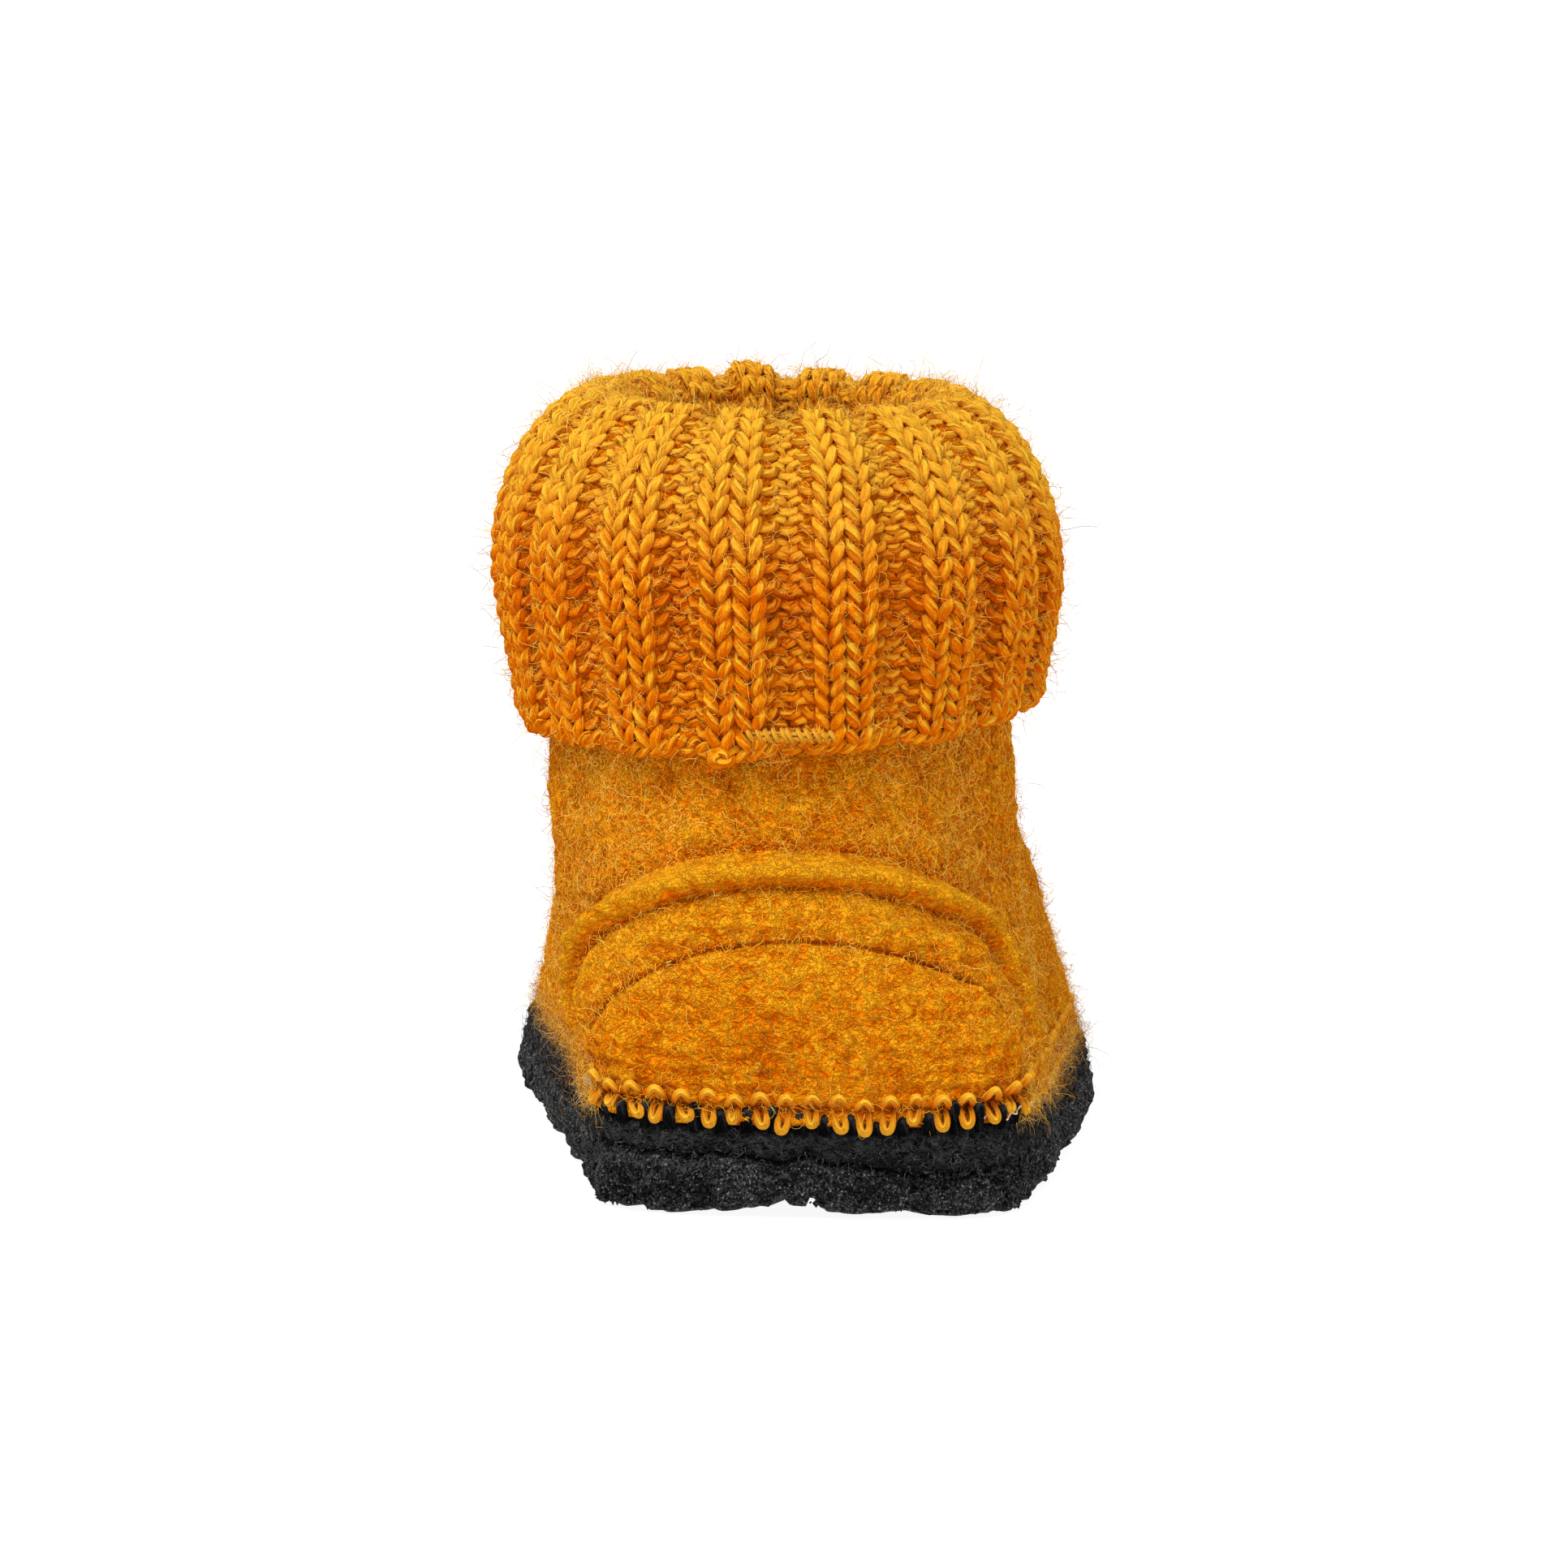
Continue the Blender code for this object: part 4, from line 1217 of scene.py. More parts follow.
# Outer face of the band: share of its height, how far it bulges out
BAND_FACE = (
    (0.00, -0.0016),
    (0.04, -0.0006),
    (0.12, 0.0001),
    (0.22, 0.0005),
    (0.33, 0.0007),
    (0.44, 0.0008),
    (0.55, 0.0008),
    (0.66, 0.0007),
    (0.77, 0.0005),
    (0.88, 0.0002),
    (1.00, -0.0003),
)
BAND_LUMPS = ((0.00050, 0.0028, 33), (0.00036, 0.0013, 34))
BAND_SLANT = 0.00030
CREASE_REACH = 0.026
CREASE_RISE = 0.0015
CREASE_FALL = 0.0028
CREASE_SPAN = (-0.3, 0.9)
CREASE_FADE = (0.04, 0.16)
CREASE_LUMPS = ((0.0005, 0.010, 31), (0.0004, 0.004, 32), (0.0004, 0.0016, 36))

# Side of the outsole: inset from the outline, height
SOLE_SIDE = (
    (0.0018, 0.0000),
    (0.0005, 0.0007),
    (0.0000, 0.0022),
    (0.0001, 0.0047),
    (0.0008, 0.0060),
    (0.0026, SOLE_THICKNESS),
)
SOLE_COLUMNS = 760
SOLE_SIDE_ROWS = 20
WANDER_FOOT = 0.003
UNDER_SHARES = (1.0, 0.6, 0.4, 0.25, 0.12, 0.04)
SOLE_LUMPS = ((0.00070, 0.0034, 43), (0.00060, 0.0015, 44), (0.00045, 0.0009, 45))
SPINE_BACK = 0.024
SPINE_FRONT = 0.128
NOTCH_DEPTH = 0.0012
NOTCH_PITCHES = (0.0170, 0.0110)
NOTCH_LEVEL = 0.60
HEEL_ARCH = 0.0009
HEEL_ARCH_PLACE = (-0.002, 0.014)
HEEL_REACH = 0.012
HEEL_BITE_X = -0.0050
HEEL_BITE = 0.0016
HEEL_BITE_EDGE = 0.0005
# The bite at the heel ends in two steps: share of its height, start and end
HEEL_BITE_STEPS = ((0.65, 0.0014, 0.0026), (0.35, 0.0050, 0.0070))
# Small bites, where noise passes a level: height, size, seed, level
SMALL_BITES = ((0.0020, 0.0060, 41, 0.10), (0.0012, 0.0021, 42, 0.22))
SMALL_BITES_HEEL_FADE = 0.6
BITE_TOP = 0.0047
BITE_REACH = 0.8

# Insole: share of the way in from its edge and share of its height, then the shares along its top
INSOLE_FACE = ((1.0, 0.0), (0.5, 0.0), (0.02, 0.0), (0.0, 0.5), (0.015, 0.85))
INSOLE_TOP = (0.04, 0.1, 0.2, 0.3, 0.4, 0.5, 0.6, 0.75, 0.9, 1.0)
INSOLE_COLUMNS = 160
INSOLE_CROWDING = 0.28
INSOLE_INSET = 0.0056
INSOLE_THICKNESS = 0.0030
INSOLE_LUMPS = (0.00015, 0.005, 51)


def edge_wander(angle):
    """How far the crease between band and sole wanders up and down."""
    flat = outline(angle)
    across = np.clip(flat[..., 0] / CREASE_REACH, -1, 1)
    heel = 1 - smooth_step(*CREASE_FADE, along(angle))
    slope = (CREASE_RISE - CREASE_FALL * smooth_step(*CREASE_SPAN, across)) * heel
    return slope + lumps(raised(flat, 0.0), *CREASE_LUMPS)


def make_band():
    """Felted charcoal band: a closed ring with a soft uneven outer face."""
    angle = even_angles(BAND_COLUMNS)
    foot = SOLE_THICKNESS + toe_lift(SOLE_LENGTH * along(angle))
    top = band_top(angle) + BAND_TUCK
    top_inset = foot_inset(angle)
    wander = edge_wander(angle)
    length = run_along(outline(angle))
    rows = []
    for share, bulge in BAND_FACE:
        inset = BAND_INSET + (top_inset - BAND_INSET) * share - bulge
        height = foot + wander * (1 - share) ** 2 + (top - foot) * share
        point = raised(inset_outline(angle, inset), height)
        if share > 0:
            turn = FULL_TURN * (length + BAND_YARN_SLOPE * height) / BAND_YARN + lumps(point, BAND_WANDER)
            relief = lumps(point, *BAND_LUMPS) + BAND_SLANT * np.cos(turn)
            point = point + outward(angle) * relief[:, None]
        rows.append(point)
    rows.append(raised(inset_outline(angle, top_inset + WALL), top - BAND_INNER_DROP))
    rows.append(raised(inset_outline(angle, BAND_INSET + BAND_THICKNESS), foot))
    faces = looped_quads(len(rows), BAND_COLUMNS)
    make_piece("band_felt", rows, faces, CHARCOAL_FELT, ("rand_band",))


def towards_spine(flat, share):
    """A ring moved by a share of the way to the middle line of the foot, which flat pieces close on."""
    mirrored = flat[-np.arange(len(flat)) % len(flat)]
    middle = (flat + mirrored) / 2
    middle[:, 1] = np.clip(middle[:, 1], SPINE_BACK, SPINE_FRONT)
    return flat + (middle - flat) * share


def notch_height(flat):
    """Height of the notches along the lower edge, which two waves of unlike pitch make uneven."""
    steps = np.linalg.norm(np.diff(flat, axis=0, append=flat[:1]), axis=1)
    length = np.cumsum(steps) - steps
    wave = sum(np.cos(FULL_TURN * length / pitch) for pitch in NOTCH_PITCHES) / len(NOTCH_PITCHES)
    return NOTCH_DEPTH * np.clip((wave - NOTCH_LEVEL) / (1 - NOTCH_LEVEL), 0, 1)


def sole_bite(flat):
    """Height of the bites out of the sole's lower edge."""
    place = raised(flat, 0.0)
    heel = bell(flat[:, 1], 0.0, HEEL_REACH)
    arch = bell(flat[:, 0], *HEEL_ARCH_PLACE) * heel
    ahead = flat[:, 0] - HEEL_BITE_X
    deep = 1 - sum(share * smooth_step(start, end, ahead) for share, start, end in HEEL_BITE_STEPS)
    bite = smooth_step(0.0, HEEL_BITE_EDGE, ahead) * deep * heel
    uneven = sum(height * np.clip(noise(place, size, seed) - level, 0, 1)
                 for height, size, seed, level in SMALL_BITES)
    return uneven * (1 - SMALL_BITES_HEEL_FADE * heel) + HEEL_ARCH * arch + HEEL_BITE * bite


def make_sole():
    """Crumbly felt sole, flat underneath and lumpy along its lower edge."""
    angle = even_angles(SOLE_COLUMNS)
    floor_edge = inset_outline(angle, SOLE_SIDE[0][0])
    edge_bite = sole_bite(floor_edge) + notch_height(floor_edge)
    wander = edge_wander(angle)
    rows = []
    for share in UNDER_SHARES:
        flat = towards_spine(floor_edge, share)
        rows.append(raised(flat, toe_lift(flat[:, 1]) + edge_bite * max(1 - share / BITE_REACH, 0)))
    knots = np.arange(len(SOLE_SIDE))
    for step in np.linspace(0, knots[-1], SOLE_SIDE_ROWS):
        inset, height = (smooth_curve(knots, column(SOLE_SIDE, k), step) for k in (0, 1))
        flat = inset_outline(angle, inset)
        z = height + edge_bite * max(1 - height / BITE_TOP, 0) + toe_lift(flat[:, 1])
        z = z + wander * smooth_step(WANDER_FOOT, SOLE_THICKNESS, height)
        relief = lumps(raised(flat, height), *SOLE_LUMPS)
        rows.append(raised(flat, z) + outward(angle) * relief[:, None])
    top_edge = rows[-1][:, :2]
    for share in (0.3, 1.0):
        flat = towards_spine(top_edge, share)
        rows.append(raised(flat, SOLE_THICKNESS + toe_lift(flat[:, 1])))
    rows = np.array(rows)
    rows[..., 2] = np.maximum(rows[..., 2], 0.0)
    faces = grid_quads(len(rows), SOLE_COLUMNS, True)
    make_piece("sole_felt", rows, faces, CRUMB_SOLE, ("outsole",))


def make_insole():
    """Felt insole with a softly pressed top."""
    angle = angles(INSOLE_COLUMNS, INSOLE_CROWDING)
    edge = inset_outline(angle, INSOLE_INSET)
    depth, size, seed = INSOLE_LUMPS
    rows = []
    for share, height in INSOLE_FACE + tuple((share, 1.0) for share in INSOLE_TOP):
        flat = towards_spine(edge, share)
        point = raised(flat, SOLE_THICKNESS + GAP + INSOLE_THICKNESS * height + toe_lift(flat[:, 1]))
        if height == 1.0:
            point[:, 2] -= depth * (1 + noise(point, size, seed))
        rows.append(point)
    faces = grid_quads(len(rows), INSOLE_COLUMNS, True)
    make_piece("insole_felt", rows, faces, GREY_FELT, ("insole",))


make_band()
make_sole()
make_insole()


# Row of loops where the orange felt is linked to the charcoal band

LOOPS = 124
LOOP_SIDES = 6
LOOP_WIDTH = 0.0014
LOOP_TOP = 0.0034
LOOP_DROP = -0.0004
LOOP_SIDE_RISE = 0.0010
SIDE_RISE_SPAN = (0.008, 0.026)
LOOP_RADIUS = 0.00052
LOOP_ENDS = 0.75
LOOP_PAINTED_SHADE = 0.9
LOOP_PALE_FUZZ_AND_LIGHT = 0.5
LOOP_HANG_SPAN = 0.0022
LOOP_PUSH = 0.0012
LOOP_HANG_PUSH = 0.0003
LOOP_END_SINK = 0.0012
LOOP_FLANK = (0.03, 0.12)
LOOP_FLANK_SINK = 0.0015
DROP_JITTER = 0.00035
WIDTH_JITTER = 0.13
LEAN_JITTER = 0.0004
BUMP_RADIUS = 0.00052
BUMP_HALF_WIDTH = 0.0011
BUMP_FOOT = 0.0034
BUMP_ARCH = 0.0013
BUMP_PUSH = 0.0018
BUMP_CLIMB = 0.4
BUMP_PAINTED_SHADE = 0.8
BUMP_PALE_FUZZ_AND_LIGHT = 0.4
BUMP_END_SINK = 0.0012
BUMP_FLANK_SINK = 0.0026
BUMP_FOOT_JITTER = 0.00025
BUMP_PUSH_JITTER = 0.00018
TOOTH_RADIUS = 0.00064
TOOTH_HALF_WIDTH = 0.0003
TOOTH_FOOT = -0.0002
TOOTH_RISE = 0.0019
TOOTH_JITTER = 0.35
TOOTH_PUSH = 0.0004
TOOTH_STAND_PUSH = 0.0005
TOOTH_FLANK = (0.02, 0.08)
TOOTH_FLANK_DROP = 0.0008
TOOTH_FLANK_SINK = 0.0014


def band_frame(angle):
    """Point on the band's top line, and the ways along it, up it and out of it."""
    out = outward(angle)
    up = np.broadcast_to(np.array([0.0, 0.0, 1.0]), out.shape)
    return raised(upper_foot(angle), band_top(angle)), np.cross(up, out), up, out


def band_yarns(place, across, height, push, radius):
    """Short yarns on the band's top line, from how far their points lie along it, up it and out of it."""
    point, ahead, up, out = (values[:, None] for values in place)
    lines = point + ahead * across[..., None] + up * height[..., None] + out * push[..., None]
    return tubes(lines, np.broadcast_to(out, lines.shape), radius, LOOP_SIDES, closed=False)


def on_each_loop(values):
    """Values along one yarn, for the points of all the loops' tubes."""
    return np.repeat(np.tile(values, LOOPS), LOOP_SIDES)


def side_rise(place):
    """How far the loops climb on both sides of the heel."""
    return LOOP_SIDE_RISE * smooth_step(*SIDE_RISE_SPAN, np.abs(place[0][:, 0]))


def make_orange_loops(angle):
    """Orange loops that hang over the band and a row of bumps above them."""
    place = band_frame(angle)
    flank = smooth_step(*LOOP_FLANK, along(angle))[:, None]
    climb = side_rise(place)
    drop = LOOP_DROP + DROP_JITTER * DRAW.normal(0, 1, LOOPS) - climb
    width = LOOP_WIDTH * (1 + WIDTH_JITTER * DRAW.normal(0, 1, LOOPS))
    lean = LEAN_JITTER * DRAW.normal(0, 1, LOOPS)
    t = np.linspace(-1, 1, 15)
    hang = np.sqrt(np.clip(1 - np.abs(t) ** 2.6, 0, 1))
    across = np.sign(t) * np.abs(t) ** 0.8 / 2 * width[:, None] + lean[:, None] * hang
    height = LOOP_TOP - (LOOP_TOP + drop[:, None]) * hang
    hanging = smooth_step(0.0, LOOP_HANG_SPAN, LOOP_TOP - height)
    push = LOOP_PUSH + LOOP_HANG_PUSH * hanging - LOOP_FLANK_SINK * flank - LOOP_END_SINK * (1 - hang) ** 2
    loops = band_yarns(place, across, height, push, LOOP_RADIUS * (LOOP_ENDS + (1 - LOOP_ENDS) * hang))
    arc = np.linspace(-1, 1, 9)
    arch = 1 - arc ** 2
    height = BUMP_FOOT + BUMP_ARCH * arch + BUMP_FOOT_JITTER * DRAW.normal(0, 1, (LOOPS, 1))
    height = height + BUMP_CLIMB * climb[:, None]
    push = BUMP_PUSH + BUMP_PUSH_JITTER * DRAW.normal(0, 1, (LOOPS, 1))
    push = push - BUMP_END_SINK * arc ** 4 - BUMP_FLANK_SINK * flank
    bumps = band_yarns(place, arc * BUMP_HALF_WIDTH, height, push, BUMP_RADIUS)
    # Painted shade at the ends of the loops and bumps, where they tuck in; pale fuzz and painted highlight in
    # the middle of each hanging loop and on the top of each bump
    marks = {
        "painted_dip_shade": np.concatenate([on_each_loop(LOOP_PAINTED_SHADE * (1 - hang)), on_each_loop(BUMP_PAINTED_SHADE * arc ** 4)]),
        "pale_fuzz_and_painted_light": np.concatenate([on_each_loop(LOOP_PALE_FUZZ_AND_LIGHT * hang), on_each_loop(BUMP_PALE_FUZZ_AND_LIGHT * arch)]),
    }
    points, faces, uv = joined([loops, bumps])
    make_piece("loop_row_orange", points, faces, ORANGE_YARN, (), uv, marks)


def make_charcoal_loops(angle):
    """Charcoal loops that stand up between the orange ones and sink away on the flanks."""
    place = band_frame(angle)
    flank = smooth_step(*TOOTH_FLANK, along(angle))
    rise = TOOTH_RISE * (1 + TOOTH_JITTER * DRAW.normal(0, 1, LOOPS)) + side_rise(place)
    rise = rise * (1 - flank) - TOOTH_FLANK_DROP * flank
    t = np.linspace(-1, 1, 11)
    stand = np.sqrt(np.clip(1 - np.abs(t) ** 2.4, 0, 1))
    height = TOOTH_FOOT + (rise[:, None] - TOOTH_FOOT) * stand
    push = TOOTH_PUSH + TOOTH_STAND_PUSH * stand - TOOTH_FLANK_SINK * flank[:, None]
    points, faces, uv = band_yarns(place, t * TOOTH_HALF_WIDTH, height, push, TOOTH_RADIUS)
    make_piece("loop_row_charcoal", points, faces, CHARCOAL_YARN, (), uv)


LOOP_ANGLES = even_angles(LOOPS)
make_orange_loops(LOOP_ANGLES)
make_charcoal_loops(LOOP_ANGLES + np.diff(LOOP_ANGLES, append=LOOP_ANGLES[:1] + FULL_TURN) / 2)


# Crumbs, the loose thread and loose fibres

# Lowest height of crumbs and fibres, then how far their sizes vary
FIBRE_FLOOR = 0.0002
SIZE_SPREAD = 0.35
# How a fibre stands up, waves, arches, turns its flat side and thins towards its tip
STAND_SPREAD = 0.6
WAVE_SHARE = 0.5
WAVE_TURN = 5
ARCH_TURN = (0.1, 2.2)
FACING_SPREAD = 0.7
TIP_TAPER = 0.7
HEEL_BARE = 0.45
HEEL_BARE_LEVEL = 0.045
HEEL_ROOTS_SPREAD = 0.55
HIGHEST_ROOT = 0.92
COUNTER_TURN = 1.2
COUNTER_ROOTS_REACH = COUNTER_REACH * 0.88
COUNTER_ROOTS_EDGE = 0.95
COUNTER_ROOT_RISE = 0.0010
FLANK_TURNS = (0.45, 2.10)
FLANK_HIGHEST = 0.9
YARN_ROOTS_SPREAD = 0.6
YARN_ROOTS_DEPTH = 0.8
RIM_ROOTS_SPREAD = 0.0016
BAND_ROOT_FOOT = 0.0060
CRUMBS = 2600
CRUMB_SIZE = 0.00032
CRUMBS_NEAR = 0.75
CRUMBS_SPREAD = 0.4
CRUMB_HEIGHTS = (0.0006, SOLE_THICKNESS + 0.0004)
CRUMB_OUT = (-0.0004, 0.0003)
CORNER_JITTER = 0.15
# Corners and sides of a crumb, an eight-sided grain
CRUMB_CORNERS = np.array([(1, 0, 0), (0, 1, 0), (-1, 0, 0), (0, -1, 0), (0, 0, 1), (0, 0, -1)], float)
CRUMB_FACES = np.array(
    [(0, 1, 4), (1, 2, 4), (2, 3, 4), (3, 0, 4), (1, 0, 5), (2, 1, 5), (3, 2, 5), (0, 3, 5)])
THREAD_REACH = (0.0215, 0.0330)
THREAD_WEAVE = 0.0017
THREAD_WAVE = 0.0003
THREAD_WANDER = (0.0007, 0.004, 61)
THREAD_RISE = 0.0016
THREAD_PUSH = 0.0008
THREAD_RADIUS = 0.00013
TUFT_REACH = -0.0330
TUFT_SPREAD = 0.0016
TUFT_LEVEL = 0.05


def near_heel(count, near, spread):
    """Angles round the shoe, of which the first ones are crowded at the heel."""
    return np.concatenate([DRAW.normal(0, spread, near), DRAW.uniform(-math.pi, math.pi, count - near)])


def make_crumbs():
    """Small crumbs of the sole's skin, stuck all over its side."""
    angle = near_heel(CRUMBS, int(CRUMBS_NEAR * CRUMBS), CRUMBS_SPREAD)
    height = DRAW.uniform(*CRUMB_HEIGHTS, CRUMBS)
    inset = np.interp(height, column(SOLE_SIDE, 1), column(SOLE_SIDE, 0))
    flat = inset_outline(angle, inset - DRAW.uniform(*CRUMB_OUT, CRUMBS))
    lift = toe_lift(flat[:, 1]) + sole_bite(flat) * np.clip(1 - height / BITE_TOP, 0, 1)
    middle = raised(flat, height + lift)
    sizes = CRUMB_SIZE * np.exp(DRAW.normal(0, SIZE_SPREAD, (CRUMBS, 1, 3)))
    corners = len(CRUMB_CORNERS)
    points = middle[:, None] + (CRUMB_CORNERS + DRAW.normal(0, CORNER_JITTER, (CRUMBS, corners, 3))) * sizes
    points[..., 2] = np.maximum(points[..., 2], FIBRE_FLOOR)
    faces = (np.arange(CRUMBS)[:, None, None] * corners + CRUMB_FACES).reshape(-1, 3)
    make_piece("sole_crumbs", points, faces, CRUMB_SOLE)


def make_silver_thread():
    """Loose pale thread lying along the loop row on the outer side of the heel."""
    reach = np.linspace(*THREAD_REACH, 60)
    point, ahead, up, out = band_frame(heel_angle(reach))
    weave = np.sin(reach * FULL_TURN / THREAD_WEAVE)
    rise = THREAD_RISE + lumps(point, THREAD_WANDER) + THREAD_WAVE * weave
    line = point + up * rise[:, None] + out * (THREAD_PUSH + THREAD_WAVE * np.abs(weave))[:, None]
    points, faces, uv = tubes(line[None], out[None], THREAD_RADIUS, 5, closed=False)
    make_piece("silver_thread", points, faces, PALE_HAIR, (), uv)


def fibres(name, roots, normals, look, slot, length, lift, curl, width, segments):
    """Curly single fibres as thin ribbons that start on a surface, lie over it and are lit as it is."""
    count = len(roots)
    way = unit(np.cross(normals, DRAW.normal(0, 1, (count, 3))))
    side = np.cross(normals, way)
    reach = length * np.exp(DRAW.normal(0, SIZE_SPREAD, count))
    stand = lift * np.abs(DRAW.normal(STAND_SPREAD, STAND_SPREAD, count))
    bend = DRAW.normal(0, 1, count) * curl
    wave = DRAW.normal(0, WAVE_SHARE, count) * curl
    start = DRAW.uniform(0, FULL_TURN, count)
    t = np.linspace(0, 1, segments + 1)[None, :]
    turn = bend[:, None] * t + wave[:, None] * np.sin(WAVE_TURN * t + start[:, None])
    step = reach[:, None] / segments
    moves = way[:, None] * np.cos(turn)[..., None] + side[:, None] * np.sin(turn)[..., None]
    lines = roots[:, None] + np.cumsum(moves * step[..., None], axis=1)
    rise = (reach * stand)[:, None] * np.sin(ARCH_TURN[0] + ARCH_TURN[1] * t)
    lines = lines + normals[:, None] * rise[..., None]
    facing = normals + FACING_SPREAD * DRAW.normal(0, 1, (count, 3))
    across = unit(np.cross(np.gradient(lines, axis=1), facing[:, None]))
    across = across * (width / 2 * (1 - TIP_TAPER * t))[..., None]
    points = np.stack([lines - across, lines + across], axis=2)
    points[..., 2] = np.maximum(points[..., 2], FIBRE_FLOOR)
    index = np.arange(count * (segments + 1) * 2).reshape(count, segments + 1, 2)
    quads = [index[:, :-1, 0], index[:, :-1, 1], index[:, 1:, 1], index[:, 1:, 0]]
    shaded = np.repeat(normals, (segments + 1) * 2, axis=0)
    make_piece(name, points, np.stack(quads, axis=-1).reshape(-1, 4), look, facing=shaded)


def upper_roots(count, heel_share):
    """Roots spread over the upper and counter, with a share of them crowded on the heel."""
    angle = near_heel(count, int(count * heel_share), HEEL_ROOTS_SPREAD)
    lowest = np.where(np.abs(angle) < HEEL_BARE, HEEL_BARE_LEVEL, 0.0)
    level = lowest + (HIGHEST_ROOT - lowest) * DRAW.uniform(0, 1, count)
    face = upper_face(angle, level)
    normal = upper_normal(angle, level)
    height = face[:, 2] - band_top(angle)
    reach = np.linalg.norm(upper_foot(angle) - upper_foot(np.zeros(1)), axis=-1)
    inside = (reach / COUNTER_ROOTS_REACH) ** 2 + (height / COUNTER_HEIGHT) ** 2 < COUNTER_ROOTS_EDGE
    rise = np.where((np.abs(angle) < COUNTER_TURN) & inside, COUNTER_ROOT_RISE, 0.0)
    return face + normal * (felt_relief(face) + rise - waist_trough(angle, level))[:, None], normal


def flank_roots(count, highest):
    """Roots over the lower part of the felt, on both sides of the heel and along the shoe."""
    away = DRAW.uniform(*FLANK_TURNS, count)
    angle = away * np.where(DRAW.uniform(0, 1, count) < 0.5, -1, 1)
    level = np.minimum(np.abs(DRAW.normal(0, highest / 2, count)), FLANK_HIGHEST)
    normal = upper_normal(angle, level)
    return upper_face(angle, level) - normal * waist_trough(angle, level)[:, None], normal


def tuft_roots(count):
    """Roots of the pale hairs at the inner corner of the heel."""
    angle = heel_angle(TUFT_REACH + DRAW.normal(0, TUFT_SPREAD, count))
    level = np.abs(DRAW.normal(TUFT_LEVEL, TUFT_LEVEL, count))
    return upper_face(angle, level), upper_normal(angle, level)


def yarn_roots(count):
    """Roots on the outer side of the cuff's yarn, over the hem and the rim."""
    lines, facings = (np.concatenate(some) for some in zip(*YARN_LINES[:2]))
    picked = DRAW.integers(0, len(lines), count)
    way = unit(facings[picked] + YARN_ROOTS_SPREAD * DRAW.normal(0, 1, (count, 3)))
    return lines[picked] + way * YARN_RADIUS * YARN_ROOTS_DEPTH, way


def rim_roots(count):
    """Roots along the top of the cuff's fold."""
    wale = DRAW.uniform(0, WALES, count)
    run = RIM_RUN + DRAW.normal(0, RIM_ROOTS_SPREAD, count)
    lift = rib_lift(rib_wave(np.cos, wale), run) + YARN_RADIUS
    return cuff_point(wale, run, lift), cuff_normal(wale, run)


def band_roots(count):
    """Roots all over the band's outer face."""
    angle = DRAW.uniform(-math.pi, math.pi, count)
    share = DRAW.uniform(0, 1, count)
    height = BAND_ROOT_FOOT + (band_top(angle) - BAND_ROOT_FOOT) * share
    return raised(inset_outline(angle, foot_inset(angle) * share - GAP), height), outward(angle)


make_crumbs()
make_silver_thread()
# Fibres by name, roots, look and slot, then length, lift, curl, width and segments
fibres("pale_tuft", *tuft_roots(140), PALE_HAIR, "upper", 0.0022, 0.6, 2.6, 0.00009, 6)
fibres("flank_fuzz", *flank_roots(2600, 0.05), ORANGE_HAIR, "upper", 0.0021, 0.40, 2.2, 0.00006, 3)
fibres("flank_veil", *flank_roots(6000, 0.90), BRIGHT_HAIR, "upper", 0.0018, 0.50, 1.6, 0.00006, 3)
fibres("flank_strays", *flank_roots(2200, 0.04), TAN_HAIR, "upper", 0.0028, 0.40, 2.6, 0.00006, 4)
fibres("felt_fuzz", *upper_roots(13500, 0.68), ORANGE_HAIR, "upper", 0.0018, 0.26, 3.2, 0.00007, 4)
fibres("felt_strays", *upper_roots(3000, 0.65), BRIGHT_HAIR, "upper", 0.0032, 0.34, 3.2, 0.00007, 6)
fibres("knit_fuzz", *yarn_roots(15000), BRIGHT_HAIR, "cuff", 0.0019, 0.55, 2.4, 0.00007, 2)
fibres("knit_strays", *yarn_roots(4200), BRIGHT_HAIR, "cuff", 0.0032, 0.70, 2.4, 0.00007, 4)
fibres("rim_fuzz", *rim_roots(2600), BRIGHT_HAIR, "cuff", 0.0020, 0.60, 2.4, 0.00006, 3)
fibres("band_fuzz", *band_roots(5000), CHARCOAL_HAIR, "rand_band", 0.0012, 0.18, 1.8, 0.00006, 3)


# Floor, light and camera

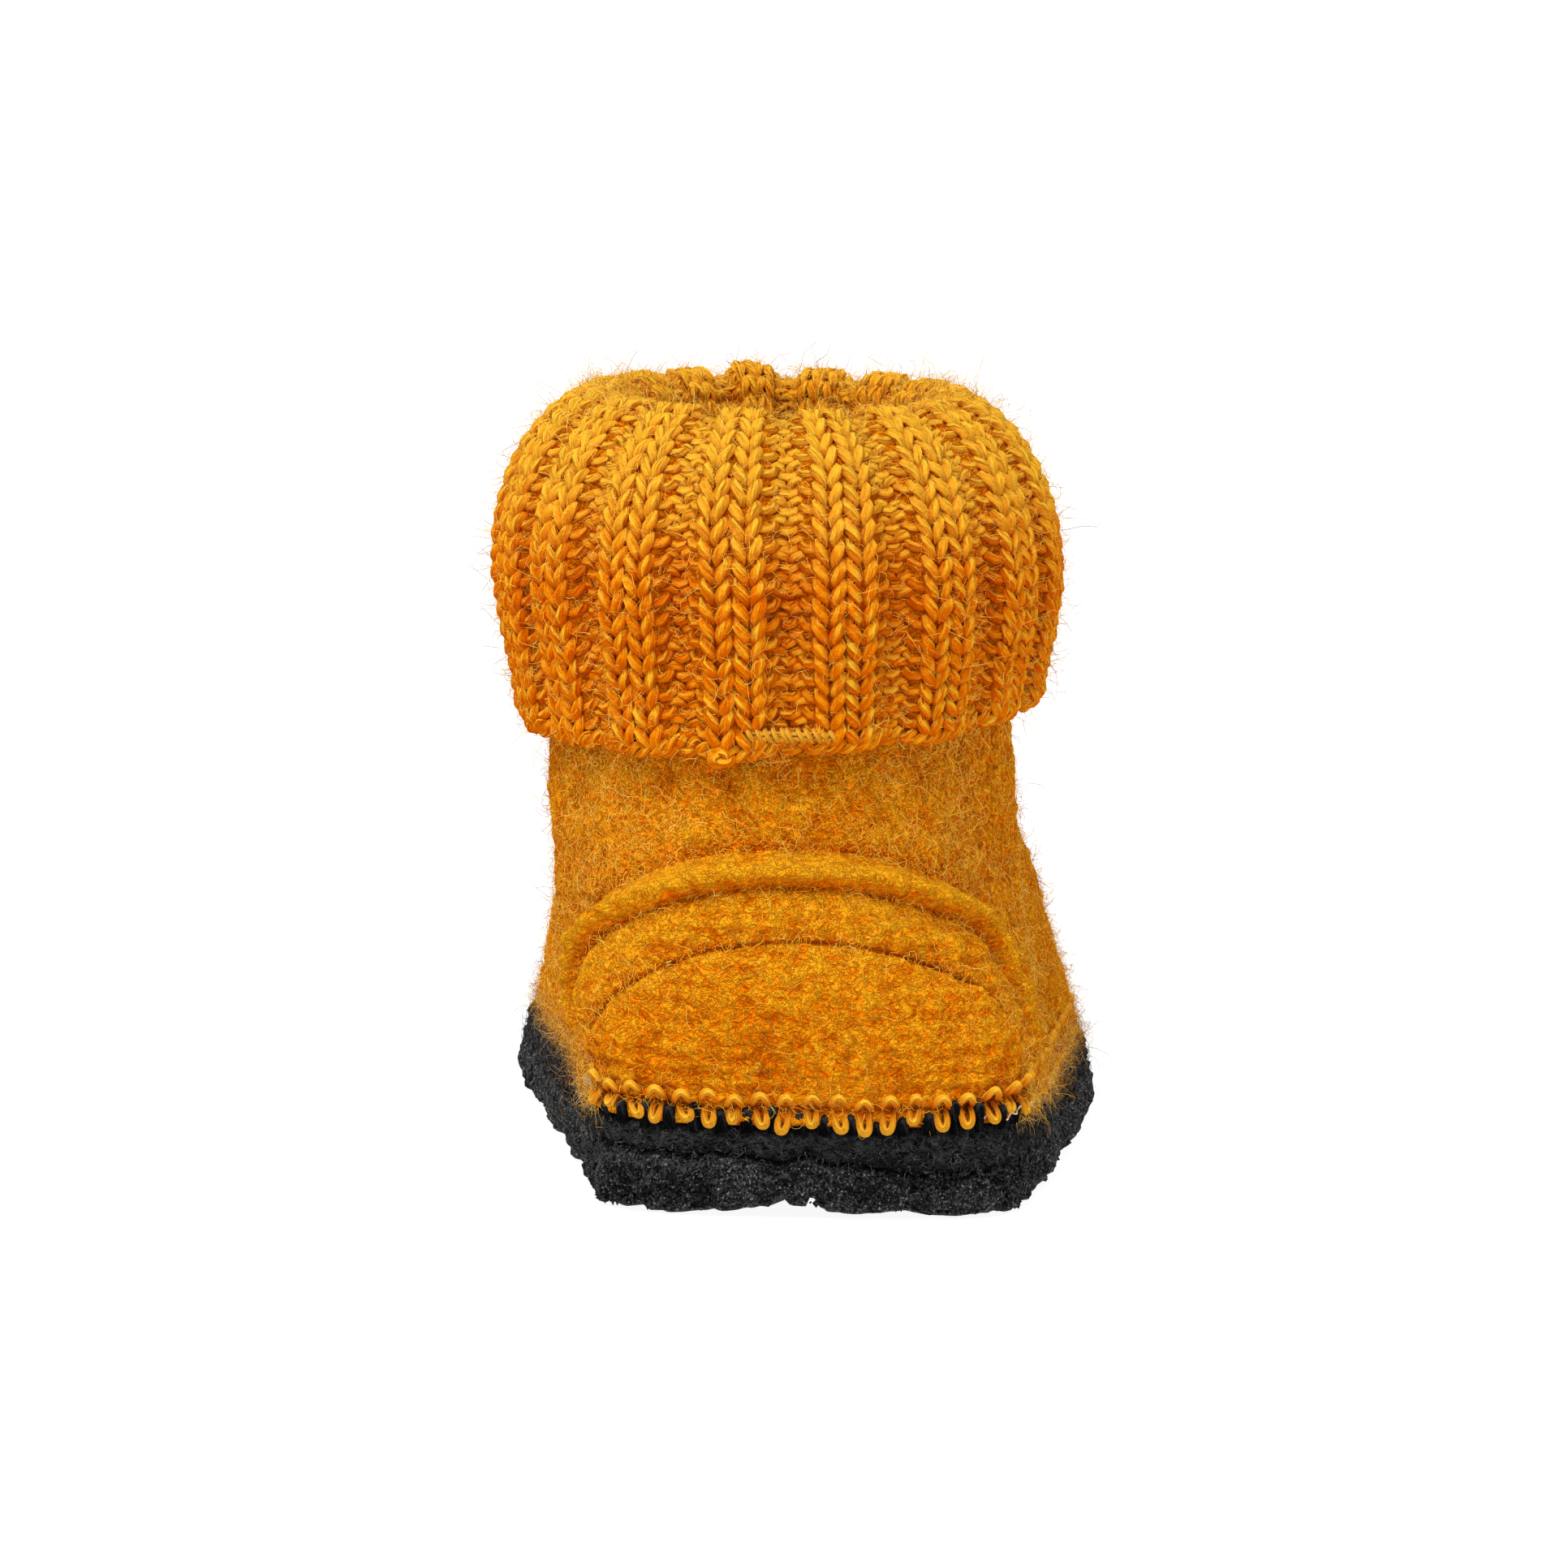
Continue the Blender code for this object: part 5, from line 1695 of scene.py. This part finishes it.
FLOOR_SIDE = 30.0
WHITE = (1.0, 1.0, 1.0)
FLOOR_COLOUR = (0.14, 0.14, 0.14)
FLOOR_GLOW = 0.92
STUDIO_STRENGTH = 0.70
KEY_STRENGTH = 2.05
KEY_ANGLE = math.radians(35)
KEY_WAY = (0.28, 0.48, -1.0)
PHOTO_SIDE = 1932
FOCAL_PIXELS = 10780
SENSOR = 36.0
CAMERA_PLACE = (-0.00427, -1.100, 0.194)
CAMERA_PITCH = math.radians(7.155)
CAMERA_ROLL = math.radians(1.0)
CAMERA_CLIP = (0.05, 100.0)


def make_floor():
    data = bpy.data.meshes.new("floor")
    corners = [(x * FLOOR_SIDE, y * FLOOR_SIDE, 0) for x, y in ((-1, -1), (1, -1), (1, 1), (-1, 1))]
    data.from_pydata(corners, [], [(0, 1, 2, 3)])
    data.materials.append(Look("floor").shade({
        "Base Color": FLOOR_COLOUR,
        "Roughness": 0.9,
        "Emission Color": WHITE,
        "Emission Strength": FLOOR_GLOW,
    }))
    floor = bpy.data.objects.new("floor", data)
    bpy.context.scene.collection.objects.link(floor)


def make_light():
    world = bpy.data.worlds.new("studio")
    bpy.context.scene.world = world
    world.use_nodes = True
    background = world.node_tree.nodes["Background"]
    background.inputs["Color"].default_value = (*WHITE, 1.0)
    background.inputs["Strength"].default_value = STUDIO_STRENGTH
    key = bpy.data.lights.new("key", "SUN")
    key.energy = KEY_STRENGTH
    key.angle = KEY_ANGLE
    lamp = bpy.data.objects.new("key", key)
    lamp.rotation_euler = Vector(KEY_WAY).to_track_quat("-Z", "Y").to_euler()
    bpy.context.scene.collection.objects.link(lamp)


def make_camera():
    data = bpy.data.cameras.new("camera")
    data.sensor_width = SENSOR
    data.lens = FOCAL_PIXELS / PHOTO_SIDE * SENSOR
    data.clip_start, data.clip_end = CAMERA_CLIP
    camera = bpy.data.objects.new("camera", data)
    pitch = Euler((math.pi / 2 - CAMERA_PITCH, 0, 0)).to_matrix().to_4x4()
    place = Matrix.Translation(Vector(CAMERA_PLACE) + Vector(SHIFT))
    camera.matrix_world = place @ pitch @ Matrix.Rotation(CAMERA_ROLL, 4, "Z")
    bpy.context.scene.collection.objects.link(camera)
    bpy.context.scene.camera = camera


make_floor()
make_light()
make_camera()
bpy.context.scene.view_settings.view_transform = "Standard"
